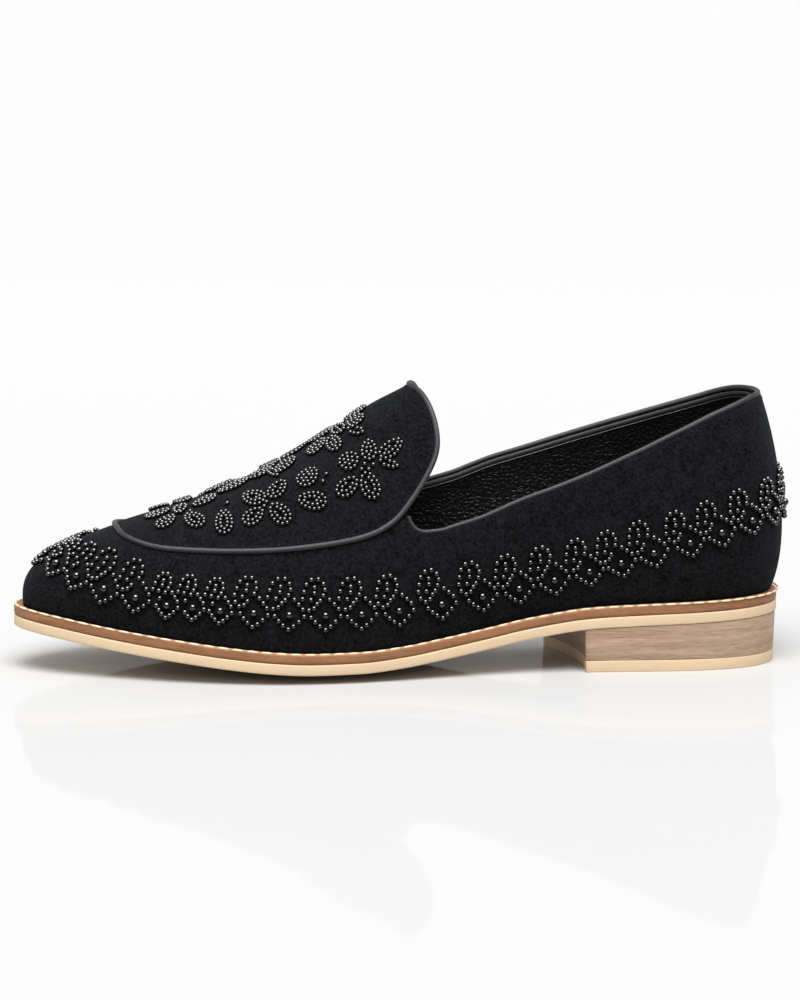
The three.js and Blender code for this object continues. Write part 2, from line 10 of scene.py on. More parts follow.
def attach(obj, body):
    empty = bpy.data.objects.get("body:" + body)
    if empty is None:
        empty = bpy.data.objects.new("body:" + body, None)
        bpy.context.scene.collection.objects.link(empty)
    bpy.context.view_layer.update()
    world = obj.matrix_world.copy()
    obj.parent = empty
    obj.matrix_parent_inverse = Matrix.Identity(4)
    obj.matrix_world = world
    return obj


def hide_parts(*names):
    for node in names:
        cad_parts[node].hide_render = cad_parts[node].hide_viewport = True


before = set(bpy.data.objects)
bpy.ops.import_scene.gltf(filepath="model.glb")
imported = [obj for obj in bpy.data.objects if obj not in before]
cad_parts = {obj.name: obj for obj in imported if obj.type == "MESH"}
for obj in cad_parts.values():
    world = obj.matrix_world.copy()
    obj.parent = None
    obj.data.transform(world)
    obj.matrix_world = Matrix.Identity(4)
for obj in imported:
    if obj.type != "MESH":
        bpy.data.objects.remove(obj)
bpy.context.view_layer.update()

bl_info = {
    "name": "Beaded Loafer",
    "version": (1, 0, 0),
    "blender": (4, 5, 0),
    "location": "3D View > Sidebar > Loafer",
    "description": "Dresses the solids of a beaded loafer with suede, piping, beads, stitches and soles",
    "category": "Object",
}

MM = 0.001

# Sizes that the solids are built from, in millimetres
SOLE_LENGTH = 263.0
OUTSOLE_THICKNESS = 3.7
MIDSOLE_THICKNESS = 3.5
INSOLE_THICKNESS = 2.5
TOP_LIFT_THICKNESS = 4.0
LAYER_GAP = 0.1
GAP = 0.3
WELT_BACK = 2.0
WELT_FRONT = 3.0
WELT_SIDE = 3.2
WALL = 2.0
INSOLE_CLEARANCE = 0.4
BREAST_STATION = 74.6
BREAST_SKEW = 3.2
BREAST_HOLLOW = 3.4
HEEL_INSET = 0.3
HEEL_TAPER = 0.4
HEEL_CENTRE_STATION = 34.0
HEEL_HALF_WIDTH = 27.5
THROAT_STATION = 134.0
RIDGE_FRONT = 215.0
BOW_POWER = 2.2
BOX_MIDDLE = np.array([1.56, 0.58, 0.0])
SOLE_TOP = OUTSOLE_THICKNESS + MIDSOLE_THICKNESS
FOOT_LENGTH = SOLE_LENGTH - WELT_BACK - WELT_FRONT


def smooth_curve(places, values):
    """A smooth curve through the values, which never runs past them between two rows."""
    places = np.array(places, float)
    values = np.array(values, float)
    steps = np.diff(places)
    rises = np.diff(values) / steps
    slopes = np.zeros(len(places))
    slopes[0] = rises[0]
    slopes[-1] = rises[-1]
    for i in range(1, len(rises)):
        if rises[i - 1] * rises[i] > 0:
            before = 2 * steps[i] + steps[i - 1]
            after = steps[i] + 2 * steps[i - 1]
            slopes[i] = (before + after) / (before / rises[i - 1] + after / rises[i])

    def curve(place):
        place = np.clip(place, places[0], places[-1])
        i = np.clip(np.searchsorted(places, place, side="right") - 1, 0, len(steps) - 1)
        t = (place - places[i]) / steps[i]
        blend = t * t * (3 - 2 * t)
        bend = slopes[i] * t * (1 - t) ** 2 - slopes[i + 1] * t * t * (1 - t)
        return values[i] * (1 - blend) + values[i + 1] * blend + steps[i] * bend

    return curve


def table(columns, rows):
    """A curve for each named column, by the place in the first column."""
    places = [row[0] for row in rows]
    return {
        name: smooth_curve(places, [row[index + 1] for row in rows])
        for index, name in enumerate(columns[1:])
    }


SOLE = table(["station", "lateral", "medial", "edge", "bow"], [
    (0, 57, 57, 17.4, 0), (10, 52.3, 52.3, 17.2, 0), (20, 46.8, 46.8, 16.8, 0),
    (35, 40.2, 40.2, 16.3, 0), (50, 35, 34.4, 15.8, 0), (70, 31, 28.3, 14.8, 0),
    (90, 30.4, 24.2, 12.1, 1.6), (105, 31.9, 24.5, 9.3, 2.7), (120, 34.5, 27.3, 6.7, 3.4),
    (135, 37.8, 32.2, 4.5, 3.7), (150, 41, 37.6, 3.3, 3.55), (165, 43.6, 42.6, 3.2, 4),
    (180, 45.2, 46.7, 3.9, 3.8), (195, 45.4, 49.1, 5.3, 3), (210, 44.6, 50.1, 7.1, 2.4),
    (225, 42.7, 49.8, 9, 1.8), (240, 41, 49.6, 11.2, 1.2), (250, 40.3, 49, 12.8, 0.7),
    (263, 40, 48, 14.6, 0),
])

LAST = table(["station", "ridge", "rise", "swell_lateral", "swell_medial", "reach", "drop"], [
    (2, 31.5, 22, 10, 10, 27, 16), (15, 31.5, 24, 10, 10, 25, 14), (30, 36, 26, 9.5, 9.5, 22, 10),
    (60, 60, 28, 9, 10, 20, 6), (100, 100, 23, 8, 12, 25, 2), (128, 128, 28, 4, 8, 26, 0),
    (150, 150, 27, 3.5, 5, 27, 0), (175, 175, 25, 3, 3, 27, 0), (200, 199, 23, 3, 3, 25, 0),
    (220, 210, 20, 3, 3, 25, 0), (240, 215, 17, 2.5, 2.5, 30, 0), (260, 215, 16, 2, 2, 34, 0),
])

RIDGE = table(["station", "height", "shift"], [
    (31, 127, 0), (60, 125, 0), (100, 110.5, 1), (121, 98.9, 2), (128, 94.9, 2.5), (138, 89.7, 3),
    (151.4, 81, 3), (158.2, 76.4, 3), (165, 72.1, 3), (172, 68.3, 3), (186, 62, 3),
    (200, 56.3, 2.5), (RIDGE_FRONT, 51.6, 2),
])

COLLAR = table(["station", "lateral", "medial"], [
    (2, 92, 92), (7.3, 91.7, 91.4), (15.7, 90, 89.4), (23.6, 87.6, 87), (38.6, 81.4, 82.8),
    (53, 74.8, 78.8), (67, 68.8, 74.8), (81, 63.5, 70.5), (95, 58.8, 66.5), (108.7, 53.4, 61.4),
    (116, 51.3, 59.2), (122.5, 49.6, 57.4), (127.5, 49.3, 56.5), (130.5, 50.4, 56.8),
    (132.3, 52.6, 58), (133.3, 54.8, 59.6), (THROAT_STATION, 57.3, 61.4),
])

SEAM = table(["station", "lateral", "medial"], [
    (THROAT_STATION, 57.3, 61.4), (137, 54.2, 58), (140, 52.1, 55.8), (144, 50, 53.6),
    (150, 48.1, 51.4), (157, 46.7, 49.8), (170, 44.9, 47.4), (184, 43.8, 45.8), (197, 43.4, 45),
    (215, 43.6, 44.6), (225, 44.5, 45.2), (230, 45.3, 45.8), (235, 46, 46.3), (240, 46.5, 46.7),
    (245, 46.9, 47), (250, 47.2, 47.2), (260, 47.5, 47.5),
])

TONGUE = table(["up", "station"], [
    (0, THROAT_STATION), (0.04, 131.8), (0.1, 128.4), (0.16, 125.7), (0.23, 123.2), (0.32, 121.9),
    (0.42, 122.1), (0.55, 123.1), (0.7, 124.7), (0.85, 126.6), (0.95, 127.8), (1, 128.2),
])

BAND = table(["station", "up"], [
    (2, 33.6), (7.3, 33), (14.7, 31.2), (24.3, 28), (34.7, 25), (46.8, 21.9), (57.9, 19),
    (69.4, 16.7), (81.5, 15.5), (94, 15.2), (107, 15.5), (121.4, 15.7), (136.5, 16.2), (150, 16.5),
    (175, 16.6), (197, 16.4), (206, 16.2), (214.6, 15.5), (225, 15.7), (235.7, 16.6), (245.6, 18.9),
    (254.2, 21.3), (260, 23),
])

# Soft creases of the leather: place of the middle, half length and half width in millimetres, the
# turn in degrees, and the depth, which is negative for a ridge
CREASE_COLUMNS = ("side", "station", "share", "long", "wide", "turn", "depth")
CREASES = [
    (-1, 176, 0.30, 22, 5, 12, 0.35), (-1, 166, 0.36, 20, 4, 8, -0.2), (-1, 120, 0.45, 26, 7, -12, 0.4),
    (-1, 60, 0.30, 24, 9, -10, 0.35), (-1, 20, 0.22, 14, 8, 20, -0.3), (1, 178, 0.30, 22, 5, 12, 0.35),
    (1, 118, 0.42, 26, 8, -10, 0.4), (1, 58, 0.30, 24, 9, -8, 0.35), (-1, 132, 0.9, 12, 5, 60, 0.25),
    (1, 132, 0.9, 12, 5, 60, 0.25),
]


def columns_for(turn, curves, station, lateral="lateral", medial="medial"):
    """Values of a table's two side columns, by the sign of the turn."""
    return np.where(turn < 0, curves[lateral](station), curves[medial](station))


def layer_height(station, y, lift):
    """Height of a layer that lies a given lift above the sole's underside."""
    along = 1 - 2 * station / SOLE_LENGTH
    half = columns_for(y, SOLE, station) * np.sqrt(np.maximum(0, 1 - along * along))
    across = np.minimum(1, np.abs(y) / np.maximum(half, 1e-6))
    return SOLE["edge"](station) + lift - SOLE["bow"](station) * (1 - across ** BOW_POWER)


# The upper's surface. A place on it is a turn round the foot, from 0 at the back to pi at the toe,
# negative on the outer side, and a share of the way up the spoke from the lower edge to the ridge.


def station_of(turn):
    return WELT_BACK + FOOT_LENGTH / 2 * (1 - np.cos(turn))


def turn_of(station):
    return np.arccos(np.clip(1 - 2 * (np.asarray(station, float) - WELT_BACK) / FOOT_LENGTH, -1, 1))


def foot_plan(turn):
    """Station and sideways place of the upper's lower edge."""
    station = station_of(turn)
    side = np.where(turn < 0, -1.0, 1.0)
    half = columns_for(turn, SOLE, station) - WELT_SIDE
    return station, side * half * np.sin(np.abs(turn))


def outward(turn):
    """Direction away from the foot in plan, square to the lower edge."""
    size = np.abs(turn)
    side = np.where(turn < 0, -1.0, 1.0)
    step = np.clip(np.minimum(size, math.pi - size), 1e-6, 0.01)
    ahead = foot_plan(side * (size + step))
    behind = foot_plan(side * (size - step))
    run_x = ahead[0] - behind[0]
    run_y = ahead[1] - behind[1]
    length = np.hypot(run_x, run_y) * side
    away_x = np.where(size < 2e-6, -1.0, np.where(size > math.pi - 2e-6, 1.0, -run_y / length))
    away_y = np.where((size < 2e-6) | (size > math.pi - 2e-6), 0.0, run_x / length)
    return away_x, away_y


def ridge_slope(station):
    place = np.minimum(station, RIDGE_FRONT - 1)
    return (RIDGE["height"](place + 1) - RIDGE["height"](place - 1)) / 2


def spoke(turn):
    """The four control points of each spoke, as station, y and height."""
    station, y = foot_plan(turn)
    height = layer_height(station, y, SOLE_TOP + GAP)
    away_x, away_y = outward(turn)
    swell = columns_for(turn, LAST, station, "swell_lateral", "swell_medial")
    ridge = LAST["ridge"](station)
    top = np.stack([ridge, RIDGE["shift"](ridge), RIDGE["height"](ridge)], -1)
    run_x = station - top[..., 0]
    run_y = y - top[..., 1]
    reach = LAST["reach"](station) / np.hypot(run_x, run_y)
    foot = np.stack([station, y, height], -1)
    low = np.stack([
        station + away_x * swell, y + away_y * swell, height + LAST["rise"](station),
    ], -1)
    high = np.stack([
        top[..., 0] + reach * run_x,
        top[..., 1] + reach * run_y,
        top[..., 2] + ridge_slope(ridge) * reach * run_x - LAST["drop"](station),
    ], -1)
    return foot, low, high, top


def point_on_spoke(points, share):
    share = share[..., None]
    rest = 1 - share
    weights = (rest ** 3, 3 * share * rest ** 2, 3 * share ** 2 * rest, share ** 3)
    return sum(weight * point for weight, point in zip(weights, points))


def wrapped(turn, share):
    """The same place with the share at most 1 and the turn within half a circle."""
    turn, share = np.broadcast_arrays(np.asarray(turn, float), np.asarray(share, float))
    over = share > 1
    turn = np.where(over, -turn, turn)
    share = np.where(over, 2 - share, share)
    turn = np.where(turn > math.pi, turn - 2 * math.pi, turn)
    turn = np.where(turn < -math.pi, turn + 2 * math.pi, turn)
    return turn, share


def surface(turn, share):
    """Points of the surface in millimetres. Past the ridge they carry on down the other side."""
    turn, share = wrapped(turn, share)
    points = point_on_spoke(spoke(turn), share)
    points[..., 0] = SOLE_LENGTH / 2 - points[..., 0]
    return points


def slopes_at(turn, share):
    step = 1e-3
    low = np.maximum(0, share - step)
    around = (surface(turn + step, share) - surface(turn - step, share)) / (2 * step)
    up = (surface(turn, share + step) - surface(turn, low)) / (share + step - low)[..., None]
    return around, up


def unit(vectors):
    return vectors / np.maximum(np.linalg.norm(vectors, axis=-1, keepdims=True), 1e-12)


def dot(a, b):
    return np.sum(a * b, -1)


def normal_at(turn, share):
    """Outward normals. On the ridge they come from the ridge's own slope."""
    turn, share = wrapped(turn, share)
    around, up = slopes_at(turn, share)
    normal = np.cross(around, up)
    slope = ridge_slope(LAST["ridge"](station_of(np.abs(turn))))
    ridge_normal = np.stack([slope, np.zeros_like(slope), np.ones_like(slope)], -1)
    normal[..., 2] = np.where(share <= 0, 0, normal[..., 2])
    near_pole = (share > 0.999)[..., None]
    return unit(np.where(near_pole, ridge_normal, unit(normal)))


def share_at_height(turn, height):
    points = spoke(turn)
    low = np.zeros_like(turn)
    high = np.ones_like(turn)
    for _ in range(36):
        middle = (low + high) / 2
        below = point_on_spoke(points, middle)[..., 2] < height
        low = np.where(below, middle, low)
        high = np.where(below, high, middle)
    return low


def share_at_distance(turn, distance):
    """Share of the place that lies a distance up the surface from the lower edge."""
    shares = np.linspace(0, 1, 101)
    points = surface(turn[:, None], shares[None, :])
    lengths = np.cumsum(np.linalg.norm(np.diff(points, axis=1), axis=-1), axis=1)
    lengths = np.concatenate([np.zeros((len(turn), 1)), lengths], axis=1)
    return np.array([np.interp(d, row, shares) for d, row in zip(distance, lengths)])


def share_below(turn, share, distance):
    """Share of the place a small distance down the surface from another."""
    _, up = slopes_at(turn, share)
    return share - distance / np.linalg.norm(up, axis=-1)


def rim_share(turn):
    """Share of the collar's edge, or forward of the throat of the plug's seam."""
    turn = np.asarray(turn, float)
    station = station_of(np.abs(turn))
    collar = columns_for(turn, COLLAR, station)
    seam = columns_for(turn, SEAM, station)
    return share_at_height(turn, np.where(station < THROAT_STATION, collar, seam))


def walk(turn, share, along_direction, across_direction, along, across):
    """Places a small distance away, along and across two directions that touch the surface."""
    start = surface(turn, share)
    turn = np.array(turn, float)
    share = np.array(share, float)
    for _ in range(6):
        offset = surface(turn, share) - start
        error_along = along - dot(offset, along_direction)
        error_across = across - dot(offset, across_direction)
        around, up = slopes_at(turn, share)
        a = dot(around, along_direction)
        b = dot(up, along_direction)
        c = dot(around, across_direction)
        d = dot(up, across_direction)
        size = a * d - b * c
        turn = turn + (d * error_along - b * error_across) / size
        share = share + (a * error_across - c * error_along) / size
    return turn, share


PLUG_STEP = 0.45
THROAT_TURN = float(turn_of(THROAT_STATION))

# Creases are measured on a spoke of this length in millimetres, and fade out towards both its ends,
# over these shares of it
SPOKE_LENGTH = 80.0
FADE_BELOW = 0.12
FADE_ABOVE = 0.04


def relief(turn, share):
    """Height of the soft creases above the last's surface, in millimetres."""
    turn, share = wrapped(turn, share)
    station = station_of(np.abs(turn))
    total = np.zeros_like(station)
    for row in CREASES:
        crease = dict(zip(CREASE_COLUMNS, row))
        angle = math.radians(crease["turn"])
        along = station - crease["station"]
        across = (share - crease["share"]) * SPOKE_LENGTH
        u = (along * math.cos(angle) + across * math.sin(angle)) / crease["long"]
        v = (across * math.cos(angle) - along * math.sin(angle)) / crease["wide"]
        same_side = np.where(turn * crease["side"] >= 0, 1.0, 0.0)
        total -= same_side * crease["depth"] * np.exp(-u * u - v * v)
    fade = np.clip(share / FADE_BELOW, 0, 1) * np.clip((1.0 - share) / FADE_ABOVE, 0, 1)
    return total * fade


def dressed(turn, share, height):
    """Points that stand a height above the creased surface, in millimetres."""
    lift = relief(turn, share) + height
    return surface(turn, share) + normal_at(turn, share) * lift[..., None]


# Meshes

# Points closer than a step are one, with this many steps to a millimetre
SLAB_STEPS = 1e4
SHEET_STEPS = 1e3
FINE_TURNS = 1600


def to_row(points):
    """Millimetres on the last to metres in the part's frame."""
    return (np.asarray(points, float) - BOX_MIDDLE) * MM


def mesh_object(name, points, faces, material, smooth=True):
    mesh = bpy.data.meshes.new(name)
    mesh.from_pydata(points.tolist(), [], faces)
    mesh.materials.append(material)
    mesh.polygons.foreach_set("use_smooth", [smooth] * len(mesh.polygons))
    mesh.update()
    piece = bpy.data.objects.new(name, mesh)
    bpy.context.scene.collection.objects.link(piece)
    return piece


def same_places(points, steps):
    """The first point at each place, and for every point the number of its place."""
    keys = np.round(points * steps).astype(np.int64)
    _, first, inverse = np.unique(keys, axis=0, return_index=True, return_inverse=True)
    return first, inverse.reshape(-1)


def merged_faces(faces, inverse):
    """Faces between places, without those that lost their area."""
    kept = []
    for face in faces:
        ring = []
        for index in face:
            place = int(inverse[index])
            if place not in ring:
                ring.append(place)
        if len(ring) > 2:
            kept.append(ring)
    return kept


def merged(points, faces):
    """Points that share a place made one, and faces that lost their area left out."""
    first, inverse = same_places(points, SLAB_STEPS)
    return points[first], merged_faces(faces, inverse)


def grid_faces(columns, rows, start=0):
    """Quads of a grid whose points are stored column by column."""
    i, j = np.meshgrid(np.arange(columns - 1), np.arange(rows - 1), indexing="ij")
    corner = start + i * rows + j
    return np.stack([corner, corner + rows, corner + rows + 1, corner + 1], -1).reshape(-1, 4).tolist()


class Sheet:
    """Places on the upper's surface, which are given a thickness to make a closed piece."""

    def __init__(self):
        self.turns = []
        self.shares = []
        self.faces = []
        self.count = 0

    def grid(self, turns, shares):
        """A grid of places, column by column. Turns rise, and shares rise along each column."""
        columns, rows = turns.shape
        self.turns.append(turns.reshape(-1))
        self.shares.append(shares.reshape(-1))
        self.faces += grid_faces(columns, rows, self.count)
        self.count += columns * rows

    def closed(self, inner, outer):
        """Points in the part's frame and faces of the body between two heights."""
        turns = np.concatenate(self.turns)
        shares = np.concatenate(self.shares)
        base = surface(turns, shares)
        normals = normal_at(turns, shares)
        lift = relief(turns, shares)
        first, inverse = same_places(base, SHEET_STEPS)
        base = base[first]
        normals = normals[first]
        lift = lift[first]
        count = len(base)
        outside = base + normals * (lift + outer)[:, None]
        inside = base + normals * (lift + inner)[:, None]
        faces = []
        borders = {}
        for ring in merged_faces(self.faces, inverse):
            faces.append(ring)
            faces.append([place + count for place in reversed(ring)])
            for a, b in zip(ring, ring[1:] + ring[:1]):
                if (b, a) in borders:
                    del borders[(b, a)]
                else:
                    borders[(a, b)] = True
        for a, b in borders:
            faces.append([b, a, a + count, b + count])
        return to_row(np.concatenate([outside, inside])), faces


def lengths_along(points):
    """The distance of each point along its line."""
    steps = np.linalg.norm(np.diff(points, axis=0), axis=1)
    return np.concatenate([[0], np.cumsum(steps)])


def points_along(points, lengths, wanted):
    """Points of a line at the wanted distances along it."""
    return np.stack([np.interp(wanted, lengths, points[:, k]) for k in range(3)], -1)


def even_turns(count, share_of, first, last):
    """Turns between two, evenly spaced along the line at the given share."""
    fine = np.linspace(first, last, FINE_TURNS)
    lengths = lengths_along(surface(fine, share_of(fine)))
    return np.interp(np.linspace(0, lengths[-1], count), lengths, fine)


def tongue_places(side, up, in_front):
    """Places on the tongue: up from the throat to the ridge, and forward from its back edge."""
    foot = rim_share(np.array([side * THROAT_TURN]))[0]
    edge = turn_of(TONGUE["station"](up))
    turn = edge + (THROAT_TURN - edge) * in_front
    return side * turn, foot + (1 - foot) * up


def ordered(side, turns, shares):
    """Columns in rising turn, so that faces look outwards on both sides."""
    return (turns[::-1], shares[::-1]) if side < 0 else (turns, shares)


def plug_grids(sheet, columns, tongue_columns, rows):
    """The plug and the tongue on both sides, up to the ridge."""
    for side in (-1, 1):
        turns = side * even_turns(columns, lambda t: rim_share(side * t), THROAT_TURN, math.pi)
        foot = rim_share(turns)
        up = np.linspace(0, 1, rows)
        shares = foot[:, None] + (1 - foot[:, None]) * up[None, :]
        sheet.grid(*ordered(side, np.repeat(turns[:, None], rows, 1), shares))
        front = np.linspace(0, 1, tongue_columns)
        places = [tongue_places(side, up, value) for value in front]
        sheet.grid(*ordered(side, np.array([p[0] for p in places]), np.array([p[1] for p in places])))


def wall_grid(sheet, columns, rows, trim=0.0):
    """Quarters and vamp, from the lower edge to the collar and the plug's seam."""
    half = even_turns(columns, rim_share, 0.0, math.pi)
    for side in (-1, 1):
        turns = side * half
        top = rim_share(turns) - trim
        shares = top[:, None] * np.linspace(0, 1, rows)[None, :]
        sheet.grid(*ordered(side, np.repeat(turns[:, None], rows, 1), shares))


# Node trees


def give(tree, socket, value):
    """Links an input to a socket, or keeps any other value in it."""
    if isinstance(value, bpy.types.NodeSocket):
        tree.links.new(value, socket)
    else:
        socket.default_value = value


def fill_in(tree, node, inputs):
    """Gives a node its inputs by their names, which have underscores in place of blanks."""
    for name, value in inputs.items():
        give(tree, node.inputs[name.replace("_", " ")], value)
    return node


def put(tree, kind, **inputs):
    """Adds a node with these inputs."""
    return fill_in(tree, tree.nodes.new(kind), inputs)


def group_node(tree, group, **inputs):
    """Adds a node that holds a group, with these inputs."""
    node = tree.nodes.new("ShaderNodeGroup")
    node.node_tree = group
    return fill_in(tree, node, inputs)


def operation_node(tree, kind, operation, values):
    """Adds a node that reckons with the values, which go to its inputs in their order."""
    node = tree.nodes.new(kind)
    node.operation = operation
    for socket, value in zip(node.inputs, values):
        give(tree, socket, value)
    return node


def math_node(tree, operation, a, b=0.0):
    return operation_node(tree, "ShaderNodeMath", operation, (a, b)).outputs[0]


def product(tree, first, *others):
    """All the values multiplied."""
    total = first
    for value in others:
        total = math_node(tree, "MULTIPLY", total, value)
    return total


def scaled_vector(tree, vector, scale):
    node = operation_node(tree, "ShaderNodeVectorMath", "SCALE", (vector,))
    give(tree, node.inputs["Scale"], scale)
    return node.outputs["Vector"]


def smooth_ramp(tree, value, start, end):
    """A smooth step from 0 at the start to 1 at the end."""
    node = put(tree, "ShaderNodeMapRange", Value=value, From_Min=start, From_Max=end)
    node.interpolation_type = "SMOOTHSTEP"
    return node.outputs["Result"]


def shader_group(name, inputs, outputs):
    """An empty shader group with named inputs and outputs, each a (name, kind, default)."""
    tree = bpy.data.node_groups.new(name, "ShaderNodeTree")
    for label, kind, default in inputs:
        socket = tree.interface.new_socket(label, in_out="INPUT", socket_type=kind)
        if default is not None:
            socket.default_value = default
    for label, kind in outputs:
        tree.interface.new_socket(label, in_out="OUTPUT", socket_type=kind)
    return tree, tree.nodes.new("NodeGroupInput"), tree.nodes.new("NodeGroupOutput")


FLOAT = "NodeSocketFloat"
COLOUR = "NodeSocketColor"
VECTOR = "NodeSocketVector"


def mottle_group():
    """Clouds and speckle that darken and lighten a colour."""
    tree, given, result = shader_group("Mottle", [
        ("Vector", VECTOR, None), ("Colour", COLOUR, (0.5, 0.5, 0.5, 1)),
        ("Cloud Scale", FLOAT, 60.0), ("Cloud Amount", FLOAT, 0.2),
        ("Speckle Scale", FLOAT, 1500.0), ("Speckle Amount", FLOAT, 0.2),
    ], [("Colour", COLOUR), ("Value", FLOAT)])
    cloud = put(tree, "ShaderNodeTexNoise", Vector=given.outputs["Vector"],
                Scale=given.outputs["Cloud Scale"], Detail=3.0)
    speckle = put(tree, "ShaderNodeTexNoise", Vector=given.outputs["Vector"],
                  Scale=given.outputs["Speckle Scale"], Detail=2.0)
    cloud_part = product(tree, math_node(tree, "SUBTRACT", cloud.outputs["Fac"], 0.5),
                         given.outputs["Cloud Amount"])
    speckle_part = product(tree, math_node(tree, "SUBTRACT", speckle.outputs["Fac"], 0.5),
                           given.outputs["Speckle Amount"])
    total = math_node(tree, "ADD", math_node(tree, "ADD", cloud_part, speckle_part), 1.0)
    colour = scaled_vector(tree, given.outputs["Colour"], total)
    tree.links.new(colour, result.inputs["Colour"])
    tree.links.new(total, result.inputs["Value"])
    return tree


# Leather grain: the scale and the reach in metres of the wave that moves the pebbles about, the
# width of the valleys between them, and the scale of the soft unevenness on top
WAVE_SCALE = 220.0
WAVE_REACH = 0.0016
VALLEY_WIDTH = 0.28
SOFT_SCALE = 400.0


def leather_group():
    """Height of a leather grain: small pebbles with soft valleys, and a soft unevenness on top."""
    tree, given, result = shader_group("Leather Grain", [
        ("Vector", VECTOR, None), ("Scale", FLOAT, 900.0), ("Unevenness", FLOAT, 0.4),
    ], [("Height", FLOAT)])
    place = given.outputs["Vector"]
    wave = put(tree, "ShaderNodeTexNoise", Vector=place, Scale=WAVE_SCALE, Detail=2.0)
    shift = scaled_vector(tree, wave.outputs["Color"], WAVE_REACH)
    moved = operation_node(tree, "ShaderNodeVectorMath", "ADD", (place, shift))
    cells = put(tree, "ShaderNodeTexVoronoi", Vector=moved.outputs["Vector"],
                Scale=given.outputs["Scale"])
    cells.feature = "DISTANCE_TO_EDGE"
    pebbles = smooth_ramp(tree, cells.outputs["Distance"], 0.0, VALLEY_WIDTH)
    soft = put(tree, "ShaderNodeTexNoise", Vector=place, Scale=SOFT_SCALE, Detail=3.0)
    uneven = product(tree, soft.outputs["Fac"], given.outputs["Unevenness"])
    tree.links.new(math_node(tree, "ADD", pebbles, uneven), result.inputs["Height"])
    return tree


def new_material(name):
    """A material with its shader and the piece's own coordinates."""
    material = bpy.data.materials.new(name)
    material.use_nodes = True
    tree = material.node_tree
    shader = tree.nodes["Principled BSDF"]
    place = tree.nodes.new("ShaderNodeTexCoord").outputs["Object"]
    return material, tree, shader, place


def stretched(tree, place, scale):
    """Coordinates stretched by a scale for each axis."""
    return put(tree, "ShaderNodeMapping", Vector=place, Scale=scale).outputs["Vector"]


def bump(tree, shader, height, distance):
    node = put(tree, "ShaderNodeBump", Height=height, Distance=distance, Strength=1.0)
    tree.links.new(node.outputs["Normal"], shader.inputs["Normal"])


def rgba(colour):
    return (*colour[:3], 1.0)


# Mottling of a colour: the clouds' scale and amount, and the speckle's
SUEDE_MOTTLE = (230.0, 1.3, 1000.0, 3.4)
PIPING_MOTTLE = (140.0, 0.3, 2200.0, 0.3)
LINING_MOTTLE = (70.0, 0.3, 1800.0, 0.25)
BEAD_MOTTLE = (300.0, 1.0, 900.0, 0.5)
THREAD_MOTTLE = (200.0, 0.2, 3000.0, 0.4)
MIDSOLE_MOTTLE = (220.0, 0.9, 1400.0, 0.7)
OUTSOLE_MOTTLE = (90.0, 0.14, 1500.0, 0.14)
FLOOR_MOTTLE = (2.0, 0.01, 50.0, 0.004)


